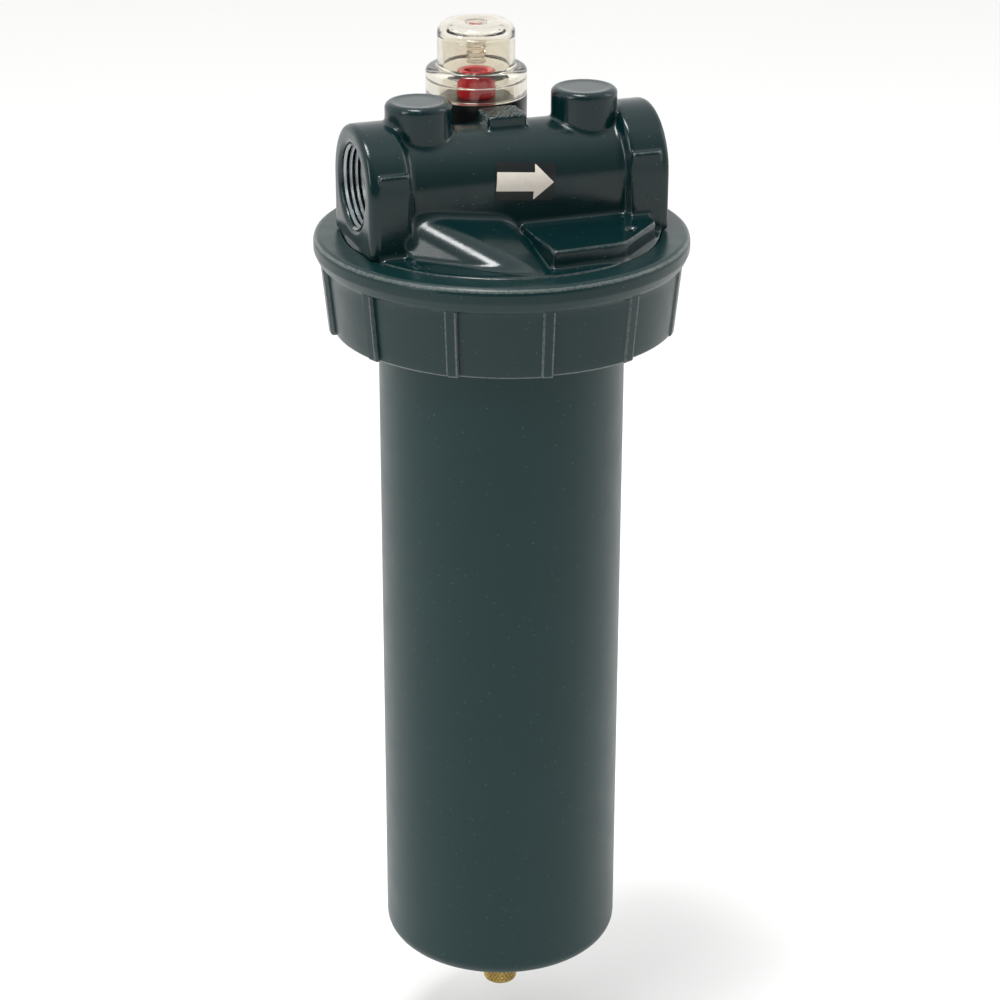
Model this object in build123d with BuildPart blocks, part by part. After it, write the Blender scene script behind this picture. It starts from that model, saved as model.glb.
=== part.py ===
"""Compressed air filter with 1 inch ports, a screwed clamp ring, a bowl, a manual drain and a
differential pressure indicator.

Origin: the crossing of the port axis (X, flow towards +X) and the bowl axis (Z, up). The label
faces -Y. All sizes are in millimetres.
"""

import os
from math import cos, radians, sin

from build123d import *

# --- Driving dimensions ---------------------------------------------------------------------
PORT_SPAN = 124.0  # face to face, along the flow
PORT_ROOT_R = 16.6  # root radius of the 1 inch pipe thread
PORT_THREAD_LENGTH = 22.0
PORT_MOUTH_R = 17.3
BLOCK_R = 24.6  # rounded top of each port block
BLOCK_LENGTH = 17.0
FLAT_TOP_Z = 10.0  # upper ledge of the wrench flats
BLOCK_BOTTOM_Z = -22.9  # just clear of the clamp ring's top face
BARREL_R = 20.5
PASSAGE_R = 13.0

DOME_EDGE_Z = -23.3  # top face of the clamp ring and edge of the dome
DOME_TOP_Z = -15.0
DOME_FLAT_R = 36.0
SKIRT_R = 63.4  # crest of the head's outer thread
SKIRT_BOTTOM_Z = -52.0
CAVITY_R = 54.0
CAVITY_ROOF_Z = -31.0
SPIGOT_R = 17.0
SPIGOT_BORE_R = 12.0
SPIGOT_BOTTOM_Z = -46.0

BOSS_R = 13.2
BOSS_X = 34.4
BOSS_TOP_Z = 32.0
BOSS_RIM = 1.6
PAD_SIZE = (16.0, 15.0)
PAD_TOP_Z = 25.0
PLATFORM_Z = -15.5
BRACKET_HOLE_PCD = 112.0
BRACKET_HOLE_R = 2.1

RUN_GAP = 0.3  # radial gap between curved faces that turn or slide past each other
RING_RIM_R = 75.2
RING_RIM_BOTTOM_Z = -31.5
RING_RIB_TOP_R = 73.6
RING_RIB_BOTTOM_R = 70.6
RING_BOTTOM_Z = -61.5
RING_LIP_TOP_Z = -58.0
RING_LIP_R = 50.7
RIB_COUNT = 12
RIB_HALF_ANGLE = 1.7  # degrees
RIB_CLOCKING = -5.0  # degrees, turn of the ring's ribs about Z
PANEL_DEEP = 1.9
PANEL_SHALLOW = 0.7

BOWL_R = 49.8
BOWL_WALL = 3.2
BOWL_BOTTOM_Z = -342.6
BOWL_FLOOR = 5.0
BOWL_CORNER_R = 7.0
BOWL_FLANGE_R = 62.0
BOWL_FLANGE_BOTTOM_Z = -57.0
BOWL_NECK_R = 53.6
BOWL_NECK_TOP_Z = -40.0

ROD_R = 4.0
ROD_TOP_Z = 22.0
ROD_BOTTOM_Z = -322.0
ELEMENT_TOP_Z = -48.0
ELEMENT_BOTTOM_Z = -305.0
ELEMENT_R = 31.0
CAP_RIM_R = 32.2
CAP_WALL = 2.0
CAP_RIM_HEIGHT = 9.0
CORE_R = 18.0
CORE_WALL = 1.0
SLEEVE_WALL = 2.0
GASKET_THICKNESS = 2.0
NUT_HEIGHT = 8.0

INDICATOR_Y = 31.0
INDICATOR_R = 20.4
BASE_SEAT_Z = 16.0
BASE_TOP_Z = 24.5
BASE_SPIGOT_R = 11.0
BASE_SPIGOT_BOTTOM_Z = 2.0
CHAMBER_R = 6.5
CHAMBER_ROOF_Z = 20.5
PISTON_R = 6.2
PISTON_BOTTOM_Z = 5.0
PISTON_TOP_Z = 13.0
COVER_FLANGE_TOP_Z = 36.0
COVER_DOME_R = 15.6
COVER_TOP_Z = 55.0
COVER_WALL = 2.2
POST_R = 3.9
POST_BOTTOM_Z = 37.0
FLAG_R = 7.8
FLAG_BORE_R = 4.7
FLAG_TOP_Z = 35.0

DRAIN_HOLE_R = 7.0
DRAIN_HEX_AF = 17.0
DRAIN_HEX_TOP_Z = -344.1
DRAIN_HEX_BOTTOM_Z = -350.5
DRAIN_NECK_R = 5.0
DRAIN_NECK_BOTTOM_Z = -357.0
DRAIN_CHAMBER_R = 3.6
DRAIN_SEAT_Z = -346.5
DRAIN_BORE_R = 2.0
STEM_R = 3.3
KNOB_R = 7.4
KNOB_TOP_Z = -351.5
KNOB_BOTTOM_Z = -373.0
KNOB_BORE_R = 5.06
KNOB_SHOULDER_Z = -359.5
STEM_BOTTOM_Z = -363.0

LABEL_SIZE = (24.6, 14.8)
LABEL_CENTRE = (2.6, 1.6)
LABEL_TILT = -5.5  # degrees
LABEL_THICKNESS = 0.3
LABEL_CORNER_R = 2.0
ARROW_THICKNESS = 0.15
ARROW_OUTLINE = [
    (-12.0, -3.7),
    (3.6, -3.7),
    (3.6, -7.1),
    (11.6, 0.0),
    (3.6, 7.1),
    (3.6, 3.7),
    (-12.0, 3.7),
]

# Plan of the mounting platform, and the sections of the hump where it leaves the barrel and where
# it runs out on the dome.
PLATFORM_OUTLINE = [(0.5, -16), (0.5, -57), (31, -55.5), (52, -34.5), (52, -16)]
HUMP_ROOT = [(-44, DOME_EDGE_Z), (-44, -8.5), (-3, -12.5), (1, DOME_EDGE_Z)]
HUMP_TOE = [(-30, DOME_EDGE_Z), (-29, -21.0), (-12, -21.0), (-8, DOME_EDGE_Z)]
HUMP_REACH = 53.0

# --- Smaller dimensions ---------------------------------------------------------------------
PAST_FACE = 1.0  # how far a cut runs past the face it opens
PORT_MOUTH_DEPTH = 1.2
OUTLET_PASSAGE_X = 21.0
OUTLET_DROP_X = 33.0
OUTLET_DROP_R = 11.0
BRACKET_HOLE_ANGLE = -45.0
BRACKET_HOLE_DEPTH = 9.0
RIM_FOOT = 1.5  # slope under the ring's rim, down to the ribs
RIM_FOOT_INSET = 0.4
RIM_STEP = 2.0
RIM_BEVEL_HEIGHTS = (2.4, 0.8)
RIM_BEVEL_INSETS = (0.7, 2.1)
BOWL_INNER_CORNER = (4.0, 4.0)  # upright and radial size of the bevel inside the foot
BOWL_GROOVE_R = 50.6
BOWL_GROOVE_BOTTOM_Z = -47.4
BOWL_GROOVE_TOP_Z = -43.8
BOWL_SEAL_R = 52.2
BOWL_SEAL_WIRE_R = 1.6
SLIP_WASHER_INSET = 2.0
ROD_CHAMFER = 0.6
WASHER_R = 12.0
WASHER_THICKNESS = 1.5
NUT_AF = 13.0
COVER_SEAL_R = 18.2
BASE_SEAL_R = 14.0
SMALL_SEAL_WIRE_R = 0.8
SMALL_GROOVE_DEPTH = 1.6
COVER_GROOVE_HALF = 1.2
BASE_GROOVE_HALF = 1.3
MAGNET_R = 4.0
MAGNET_HEIGHT = 3.0
SPRING_R = (4.6, 5.8)
RETAINER_BORE_R = 3.0
FLAG_MAGNET_R = (3.0, 6.6)
FLAG_CHAMFER = 0.6
COVER_ROOF_Z = 50.0
COVER_BORE_R = COVER_DOME_R - COVER_WALL
COVER_STEP_Z = 30.0
COVER_STEP_R = 15.0
COVER_CROWN_Z = 54.0
COVER_FLANGE_ROUND = 1.8
COVER_SHOULDER_R = 5.0
DRAIN_NUT_HEIGHT = 4.0
DRAIN_NUT_AF = 19.0
DRAIN_NECK_OVERLAP = 0.2
DRAIN_CONE = 1.6
STEM_TIP_R = 1.2
STEM_TIP_DROP = 0.5
STEM_TIP_RISE = 1.3
KNOB_OUTLET_R = 2.0
KNOB_CHAMFER = 0.5

FACE_X = PORT_SPAN / 2
BLOCK_INNER_X = FACE_X - BLOCK_LENGTH
BOWL_INNER_R = BOWL_R - BOWL_WALL
INDICATOR_AXIS = Axis((0, INDICATOR_Y, 0), (0, 0, 1))
INDICATOR_SECTION = Plane(origin=(0, INDICATOR_Y, 0), x_dir=(1, 0, 0), z_dir=(0, -1, 0))


# --- Helpers --------------------------------------------------------------------------------
def section(*points, plane=Plane.XZ):
    """Closed (radius, height) outline, ready to be revolved."""
    with BuildSketch(plane) as outline:
        with BuildLine():
            Polyline(*points, close=True)
        make_face()
    return outline.sketch


def o_ring(centre_r, wire_r, z, plane=Plane.XZ):
    """Round section of an O-ring."""
    with BuildSketch(plane) as outline:
        with Locations((centre_r, z)):
            Circle(wire_r)
    return outline.sketch


def tube(inner_r, outer_r, low_z, high_z, plane=Plane.XZ):
    """Rectangular section of a plain ring or tube."""
    return section((inner_r, low_z), (outer_r, low_z), (outer_r, high_z), (inner_r, high_z), plane=plane)


def at_angle(radius, degrees):
    """Point on a circle about Z."""
    return (radius * cos(radians(degrees)), radius * sin(radians(degrees)))


def ribbed_outline(radius, plane):
    """Ring outline with raised ribs and panels that start deep after each rib and ramp up."""
    pitch = 360 / RIB_COUNT
    with BuildSketch(plane) as outline:
        with BuildLine():
            for rib in range(RIB_COUNT):
                middle = rib * pitch + RIB_CLOCKING
                start, end = middle - RIB_HALF_ANGLE, middle + RIB_HALF_ANGLE
                panel_end = start + pitch
                deep, shallow = radius - PANEL_DEEP, radius - PANEL_SHALLOW
                ThreePointArc(at_angle(radius, start), at_angle(radius, middle), at_angle(radius, end))
                Line(at_angle(radius, end), at_angle(deep, end))
                ThreePointArc(
                    at_angle(deep, end),
                    at_angle((deep + shallow) / 2, (end + panel_end) / 2),
                    at_angle(shallow, panel_end),
                )
                Line(at_angle(shallow, panel_end), at_angle(radius, panel_end))
        make_face()
    return outline.sketch


def barrel_outline(plane, growth=0.0):
    """Arch of the barrel: round top, upright sides."""
    width = 2 * (BARREL_R + growth)
    with BuildSketch(plane) as outline:
        Circle(BARREL_R + growth)
        Rectangle(width, -DOME_EDGE_Z, align=(Align.CENTER, Align.MAX))
    return outline.sketch


def save(part, name):
    """Labels a finished piece and writes it to its own file."""
    part.label = name
    export_step(part, f"parts/{name}.step")


os.makedirs("parts", exist_ok=True)

# --- Head casting ---------------------------------------------------------------------------
with BuildPart() as head_casting:
    revolve(
        section(
            (0, SKIRT_BOTTOM_Z),
            (SKIRT_R, SKIRT_BOTTOM_Z),
            (SKIRT_R, DOME_EDGE_Z),
            (DOME_FLAT_R, DOME_TOP_Z),
            (0, DOME_TOP_Z),
        ),
        axis=Axis.Z,
    )
    extrude(barrel_outline(Plane.YZ.offset(-BLOCK_INNER_X)), amount=2 * BLOCK_INNER_X)
    for block_start in (-FACE_X, BLOCK_INNER_X):
        with BuildSketch(Plane.YZ.offset(block_start)):
            Circle(BLOCK_R)
            with Locations((0, FLAT_TOP_Z)):
                Rectangle(2 * BLOCK_R, FLAT_TOP_Z - BLOCK_BOTTOM_Z, align=(Align.CENTER, Align.MAX))
        extrude(amount=BLOCK_LENGTH)
    with Locations((-BOSS_X, 0, 0), (BOSS_X, 0, 0)):
        Cylinder(BOSS_R, BOSS_TOP_Z, align=(Align.CENTER, Align.CENTER, Align.MIN))
    with BuildSketch(Plane.XY.offset(DOME_EDGE_Z)):
        with Locations((0, INDICATOR_Y)):
            Circle(INDICATOR_R)
    extrude(amount=BASE_SEAT_Z - DOME_EDGE_Z)
    # Mounting platforms, front right and rear left, and the passage humps beside them.
    for side in (1, -1):
        with BuildSketch(Plane(origin=(0, 0, DOME_EDGE_Z), x_dir=(side, 0, 0), z_dir=(0, 0, 1))):
            Polygon(*PLATFORM_OUTLINE, align=None)
        extrude(amount=PLATFORM_Z - DOME_EDGE_Z)
        upright = Plane(origin=(0, 0, 0), x_dir=(side, 0, 0), z_dir=(0, -side, 0))
        with BuildSketch(upright.offset(BARREL_R - 4)):
            Polygon(*HUMP_ROOT, align=None)
        with BuildSketch(upright.offset(HUMP_REACH)):
            Polygon(*HUMP_TOE, align=None)
        loft(ruled=True)
    with Locations((0, 0, BARREL_R - 4)):
        Box(*PAD_SIZE, PAD_TOP_Z - BARREL_R + 4, align=(Align.CENTER, Align.CENTER, Align.MIN))
    rims = head_casting.edges().filter_by(GeomType.CIRCLE)
    chamfer(rims.filter_by_position(Axis.Z, BOSS_TOP_Z, BOSS_TOP_Z), BOSS_RIM)
    # Air passages: inlet to the spigot, and from the annular cavity to the outlet.
    revolve(
        section(
            (SPIGOT_R, SKIRT_BOTTOM_Z - PAST_FACE),
            (CAVITY_R, SKIRT_BOTTOM_Z - PAST_FACE),
            (CAVITY_R, CAVITY_ROOF_Z),
            (SPIGOT_R, CAVITY_ROOF_Z),
        ),
        axis=Axis.Z,
        mode=Mode.SUBTRACT,
    )
    with BuildSketch(Plane.XY.offset(SKIRT_BOTTOM_Z)):
        Circle(SPIGOT_R + PAST_FACE)
    extrude(amount=SPIGOT_BOTTOM_Z - SKIRT_BOTTOM_Z, mode=Mode.SUBTRACT)
    with BuildSketch(Plane.XY.offset(SPIGOT_BOTTOM_Z)):
        Circle(SPIGOT_BORE_R)
    extrude(amount=-SPIGOT_BOTTOM_Z, mode=Mode.SUBTRACT)
    with BuildSketch(Plane.YZ.offset(-FACE_X)):
        Circle(PASSAGE_R)
    extrude(amount=FACE_X, mode=Mode.SUBTRACT)
    with BuildSketch(Plane.YZ.offset(OUTLET_PASSAGE_X)):
        Circle(PASSAGE_R)
    extrude(amount=FACE_X - OUTLET_PASSAGE_X, mode=Mode.SUBTRACT)
    with BuildSketch(Plane.XY.offset(CAVITY_ROOF_Z - PAST_FACE)):
        with Locations((OUTLET_DROP_X, 0)):
            Circle(OUTLET_DROP_R)
    extrude(amount=PAST_FACE - CAVITY_ROOF_Z, mode=Mode.SUBTRACT)
    for side in (-1, 1):
        with BuildSketch(Plane(origin=(0, 0, 0), x_dir=(side, 0, 0), z_dir=(0, -side, 0))):
            Polygon(
                (FACE_X - PORT_THREAD_LENGTH, 0),
                (FACE_X - PORT_THREAD_LENGTH, PORT_ROOT_R),
                (FACE_X - PORT_MOUTH_DEPTH, PORT_ROOT_R),
                (FACE_X, PORT_MOUTH_R),
                (FACE_X, 0),
                align=None,
            )
        revolve(axis=Axis.X, mode=Mode.SUBTRACT)
    # Threaded holes: tie rod, indicator and mounting bracket.
    with BuildSketch(Plane.XY):
        Circle(ROD_R)
    extrude(amount=ROD_TOP_Z, mode=Mode.SUBTRACT)
    with BuildSketch(Plane.XY.offset(BASE_SEAT_Z)):
        with Locations((0, INDICATOR_Y)):
            Circle(INDICATOR_R + RUN_GAP)
    extrude(amount=BLOCK_R, mode=Mode.SUBTRACT)
    with BuildSketch(Plane.XY.offset(BASE_SPIGOT_BOTTOM_Z - PAST_FACE)):
        with Locations((0, INDICATOR_Y)):
            Circle(BASE_SPIGOT_R)
    extrude(amount=BASE_SEAT_Z - BASE_SPIGOT_BOTTOM_Z + PAST_FACE, mode=Mode.SUBTRACT)
    with BuildSketch(Plane.XY.offset(PLATFORM_Z)):
        with PolarLocations(BRACKET_HOLE_PCD / 2, 2, start_angle=BRACKET_HOLE_ANGLE):
            Circle(BRACKET_HOLE_R)
    extrude(amount=-BRACKET_HOLE_DEPTH, mode=Mode.SUBTRACT)
save(head_casting.part, "head_casting")

# --- Flow label -----------------------------------------------------------------------------
LABEL_PLANE = Plane(
    origin=(LABEL_CENTRE[0], 0, LABEL_CENTRE[1]),
    x_dir=(cos(radians(LABEL_TILT)), 0, sin(radians(LABEL_TILT))),
    z_dir=(0, -1, 0),
)


def wrapped_on_barrel(name, outline, inner_growth, outer_growth):
    """Thin sheet that follows the barrel and has the given outline seen from the front."""
    span = Plane.YZ.offset(-BARREL_R)
    with BuildPart() as sheet:
        extrude(barrel_outline(span, outer_growth), amount=2.5 * BARREL_R)
        extrude(barrel_outline(span, inner_growth), amount=2.5 * BARREL_R, mode=Mode.SUBTRACT)
        extrude(outline, amount=2 * BARREL_R, mode=Mode.INTERSECT)
    save(sheet.part, name)


with BuildSketch(LABEL_PLANE) as label_outline:
    RectangleRounded(*LABEL_SIZE, LABEL_CORNER_R)
wrapped_on_barrel("flow_label", label_outline.sketch, 0.0, LABEL_THICKNESS)

with BuildSketch(LABEL_PLANE) as arrow_outline:
    Polygon(*ARROW_OUTLINE, align=None)
ARROW_TOP = LABEL_THICKNESS + ARROW_THICKNESS
wrapped_on_barrel("flow_arrow", arrow_outline.sketch, LABEL_THICKNESS, ARROW_TOP)

# --- Clamp ring -----------------------------------------------------------------------------
with BuildPart() as clamp_ring:
    loft(
        [
            ribbed_outline(RING_RIB_BOTTOM_R, Plane.XY.offset(RING_BOTTOM_Z)),
            ribbed_outline(RING_RIB_TOP_R, Plane.XY.offset(RING_RIM_BOTTOM_Z)),
        ],
        ruled=True,
    )
    revolve(
        section(
            (0, RING_RIM_BOTTOM_Z - RIM_FOOT),
            (RING_RIB_TOP_R - RIM_FOOT_INSET, RING_RIM_BOTTOM_Z - RIM_FOOT),
            (RING_RIM_R, RING_RIM_BOTTOM_Z + RIM_STEP),
            (RING_RIM_R, DOME_EDGE_Z - RIM_BEVEL_HEIGHTS[0]),
            (RING_RIM_R - RIM_BEVEL_INSETS[0], DOME_EDGE_Z - RIM_BEVEL_HEIGHTS[1]),
            (RING_RIM_R - RIM_BEVEL_INSETS[1], DOME_EDGE_Z),
            (0, DOME_EDGE_Z),
        ),
        axis=Axis.Z,
    )
    revolve(
        section(
            (0, RING_BOTTOM_Z - PAST_FACE),
            (RING_LIP_R, RING_BOTTOM_Z - PAST_FACE),
            (RING_LIP_R, RING_LIP_TOP_Z),
            (SKIRT_R + RUN_GAP, RING_LIP_TOP_Z),
            (SKIRT_R + RUN_GAP, DOME_EDGE_Z + PAST_FACE),
            (0, DOME_EDGE_Z + PAST_FACE),
        ),
        axis=Axis.Z,
        mode=Mode.SUBTRACT,
    )
save(clamp_ring.part, "clamp_ring")

# --- Bowl -----------------------------------------------------------------------------------
with BuildPart() as bowl:
    with BuildSketch(Plane.XZ):
        with BuildLine():
            Line((DRAIN_HOLE_R, BOWL_BOTTOM_Z), (BOWL_R - BOWL_CORNER_R, BOWL_BOTTOM_Z))
            CenterArc((BOWL_R - BOWL_CORNER_R, BOWL_BOTTOM_Z + BOWL_CORNER_R), BOWL_CORNER_R, -90, 90)
            Polyline(
                (BOWL_R, BOWL_BOTTOM_Z + BOWL_CORNER_R),
                (BOWL_R, SKIRT_BOTTOM_Z),
                (BOWL_NECK_R, SKIRT_BOTTOM_Z),
                (BOWL_NECK_R, BOWL_GROOVE_BOTTOM_Z),
                (BOWL_GROOVE_R, BOWL_GROOVE_BOTTOM_Z),
                (BOWL_GROOVE_R, BOWL_GROOVE_TOP_Z),
                (BOWL_NECK_R, BOWL_GROOVE_TOP_Z),
                (BOWL_NECK_R, BOWL_NECK_TOP_Z),
                (BOWL_INNER_R, BOWL_NECK_TOP_Z),
                (BOWL_INNER_R, BOWL_BOTTOM_Z + BOWL_FLOOR + BOWL_INNER_CORNER[0]),
                (BOWL_INNER_R - BOWL_INNER_CORNER[1], BOWL_BOTTOM_Z + BOWL_FLOOR),
                (DRAIN_HOLE_R, BOWL_BOTTOM_Z + BOWL_FLOOR),
                (DRAIN_HOLE_R, BOWL_BOTTOM_Z),
            )
        make_face()
    revolve(axis=Axis.Z)
save(bowl.part, "bowl")

with BuildPart() as bowl_flange:
    revolve(tube(BOWL_R, BOWL_FLANGE_R, BOWL_FLANGE_BOTTOM_Z, SKIRT_BOTTOM_Z), axis=Axis.Z)
save(bowl_flange.part, "bowl_flange")

with BuildPart() as bowl_seal:
    groove_middle_z = (BOWL_GROOVE_BOTTOM_Z + BOWL_GROOVE_TOP_Z) / 2
    revolve(o_ring(BOWL_SEAL_R, BOWL_SEAL_WIRE_R, groove_middle_z), axis=Axis.Z)
save(bowl_seal.part, "bowl_seal")

with BuildPart() as slip_washer:
    inner_r = RING_LIP_R + SLIP_WASHER_INSET
    revolve(tube(inner_r, BOWL_FLANGE_R, RING_LIP_TOP_Z, BOWL_FLANGE_BOTTOM_Z), axis=Axis.Z)
save(slip_washer.part, "slip_washer")

# --- Filter element -------------------------------------------------------------------------
with BuildPart() as tie_rod:
    with BuildSketch(Plane.XY.offset(ROD_BOTTOM_Z)):
        Circle(ROD_R)
    extrude(amount=ROD_TOP_Z - ROD_BOTTOM_Z)
    chamfer(tie_rod.edges().filter_by(GeomType.CIRCLE), ROD_CHAMFER)
save(tie_rod.part, "tie_rod")

with BuildPart() as element_top_gasket:
    revolve(tube(SPIGOT_BORE_R, SPIGOT_R, ELEMENT_TOP_Z, SPIGOT_BOTTOM_Z), axis=Axis.Z)
save(element_top_gasket.part, "element_top_gasket")


def end_cap(name, outer_z, inward, hole_r):
    """Shallow metal cup that holds one end of the media; inward is +1 for the cup that opens up."""
    floor_z = outer_z + inward * CAP_WALL
    rim_z = outer_z + inward * CAP_RIM_HEIGHT
    with BuildPart() as cap:
        revolve(
            section(
                (hole_r, outer_z),
                (CAP_RIM_R, outer_z),
                (CAP_RIM_R, rim_z),
                (ELEMENT_R, rim_z),
                (ELEMENT_R, floor_z),
                (hole_r, floor_z),
            ),
            axis=Axis.Z,
        )
    save(cap.part, name)


end_cap("element_top_cap", ELEMENT_TOP_Z, -1, SPIGOT_BORE_R)
end_cap("element_bottom_cap", ELEMENT_BOTTOM_Z, 1, ROD_R + RUN_GAP)

MEDIA_TOP_Z = ELEMENT_TOP_Z - CAP_WALL
MEDIA_BOTTOM_Z = ELEMENT_BOTTOM_Z + CAP_WALL

with BuildPart() as element_core:
    revolve(tube(CORE_R, CORE_R + CORE_WALL, MEDIA_BOTTOM_Z, MEDIA_TOP_Z), axis=Axis.Z)
save(element_core.part, "element_core")

with BuildPart() as element_media:
    revolve(tube(CORE_R + CORE_WALL, ELEMENT_R - SLEEVE_WALL, MEDIA_BOTTOM_Z, MEDIA_TOP_Z), axis=Axis.Z)
save(element_media.part, "element_media")

with BuildPart() as element_drain_sleeve:
    revolve(tube(ELEMENT_R - SLEEVE_WALL, ELEMENT_R, MEDIA_BOTTOM_Z, MEDIA_TOP_Z), axis=Axis.Z)
save(element_drain_sleeve.part, "element_drain_sleeve")

GASKET_BOTTOM_Z = ELEMENT_BOTTOM_Z - GASKET_THICKNESS
WASHER_BOTTOM_Z = GASKET_BOTTOM_Z - WASHER_THICKNESS

with BuildPart() as element_bottom_gasket:
    revolve(tube(ROD_R, WASHER_R, GASKET_BOTTOM_Z, ELEMENT_BOTTOM_Z), axis=Axis.Z)
save(element_bottom_gasket.part, "element_bottom_gasket")

with BuildPart() as element_washer:
    revolve(tube(ROD_R, WASHER_R, WASHER_BOTTOM_Z, GASKET_BOTTOM_Z), axis=Axis.Z)
save(element_washer.part, "element_washer")

with BuildPart() as element_nut:
    with BuildSketch(Plane.XY.offset(WASHER_BOTTOM_Z)):
        RegularPolygon(NUT_AF / 2, 6, major_radius=False)
        Circle(ROD_R, mode=Mode.SUBTRACT)
    extrude(amount=-NUT_HEIGHT)
save(element_nut.part, "element_nut")

# --- Differential pressure indicator --------------------------------------------------------
with BuildPart() as indicator_base:
    revolve(
        section(
            (0, BASE_TOP_Z),
            (COVER_SEAL_R - COVER_GROOVE_HALF, BASE_TOP_Z),
            (COVER_SEAL_R - COVER_GROOVE_HALF, BASE_TOP_Z - SMALL_GROOVE_DEPTH),
            (COVER_SEAL_R + COVER_GROOVE_HALF, BASE_TOP_Z - SMALL_GROOVE_DEPTH),
            (COVER_SEAL_R + COVER_GROOVE_HALF, BASE_TOP_Z),
            (INDICATOR_R, BASE_TOP_Z),
            (INDICATOR_R, BASE_SEAT_Z),
            (BASE_SEAL_R + BASE_GROOVE_HALF, BASE_SEAT_Z),
            (BASE_SEAL_R + BASE_GROOVE_HALF, BASE_SEAT_Z + SMALL_GROOVE_DEPTH),
            (BASE_SEAL_R - BASE_GROOVE_HALF, BASE_SEAT_Z + SMALL_GROOVE_DEPTH),
            (BASE_SEAL_R - BASE_GROOVE_HALF, BASE_SEAT_Z),
            (BASE_SPIGOT_R, BASE_SEAT_Z),
            (BASE_SPIGOT_R, BASE_SPIGOT_BOTTOM_Z),
            (CHAMBER_R, BASE_SPIGOT_BOTTOM_Z),
            (CHAMBER_R, CHAMBER_ROOF_Z),
            (0, CHAMBER_ROOF_Z),
            plane=INDICATOR_SECTION,
        ),
        axis=INDICATOR_AXIS,
    )
save(indicator_base.part, "indicator_base")

with BuildPart() as indicator_base_seal:
    wire_z = BASE_SEAT_Z + SMALL_SEAL_WIRE_R
    revolve(o_ring(BASE_SEAL_R, SMALL_SEAL_WIRE_R, wire_z, INDICATOR_SECTION), axis=INDICATOR_AXIS)
save(indicator_base_seal.part, "indicator_base_seal")

with BuildPart() as indicator_cover_seal:
    wire_z = BASE_TOP_Z - SMALL_SEAL_WIRE_R
    revolve(o_ring(COVER_SEAL_R, SMALL_SEAL_WIRE_R, wire_z, INDICATOR_SECTION), axis=INDICATOR_AXIS)
save(indicator_cover_seal.part, "indicator_cover_seal")

with BuildPart() as sensing_piston:
    revolve(
        section(
            (0, PISTON_BOTTOM_Z),
            (PISTON_R, PISTON_BOTTOM_Z),
            (PISTON_R, PISTON_TOP_Z),
            (MAGNET_R, PISTON_TOP_Z),
            (MAGNET_R, PISTON_TOP_Z - MAGNET_HEIGHT),
            (0, PISTON_TOP_Z - MAGNET_HEIGHT),
            plane=INDICATOR_SECTION,
        ),
        axis=INDICATOR_AXIS,
    )
save(sensing_piston.part, "sensing_piston")

with BuildPart() as sensing_magnet:
    magnet_bottom_z = PISTON_TOP_Z - MAGNET_HEIGHT
    revolve(tube(0, MAGNET_R, magnet_bottom_z, PISTON_TOP_Z, INDICATOR_SECTION), axis=INDICATOR_AXIS)
save(sensing_magnet.part, "sensing_magnet")

with BuildPart() as sensing_spring:
    revolve(tube(*SPRING_R, PISTON_TOP_Z, CHAMBER_ROOF_Z, INDICATOR_SECTION), axis=INDICATOR_AXIS)
save(sensing_spring.part, "sensing_spring")

with BuildPart() as piston_retainer:
    retainer_section = tube(
        RETAINER_BORE_R, CHAMBER_R, BASE_SPIGOT_BOTTOM_Z, PISTON_BOTTOM_Z, INDICATOR_SECTION
    )
    revolve(retainer_section, axis=INDICATOR_AXIS)
save(piston_retainer.part, "piston_retainer")

with BuildPart() as indicator_flag:
    revolve(
        section(
            (FLAG_MAGNET_R[1], BASE_TOP_Z),
            (FLAG_R, BASE_TOP_Z),
            (FLAG_R, FLAG_TOP_Z - FLAG_CHAMFER),
            (FLAG_R - FLAG_CHAMFER, FLAG_TOP_Z),
            (FLAG_BORE_R, FLAG_TOP_Z),
            (FLAG_BORE_R, BASE_TOP_Z + MAGNET_HEIGHT),
            (FLAG_MAGNET_R[1], BASE_TOP_Z + MAGNET_HEIGHT),
            plane=INDICATOR_SECTION,
        ),
        axis=INDICATOR_AXIS,
    )
save(indicator_flag.part, "indicator_flag")

with BuildPart() as flag_magnet:
    magnet_top_z = BASE_TOP_Z + MAGNET_HEIGHT
    revolve(tube(*FLAG_MAGNET_R, BASE_TOP_Z, magnet_top_z, INDICATOR_SECTION), axis=INDICATOR_AXIS)
save(flag_magnet.part, "flag_magnet")

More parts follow.
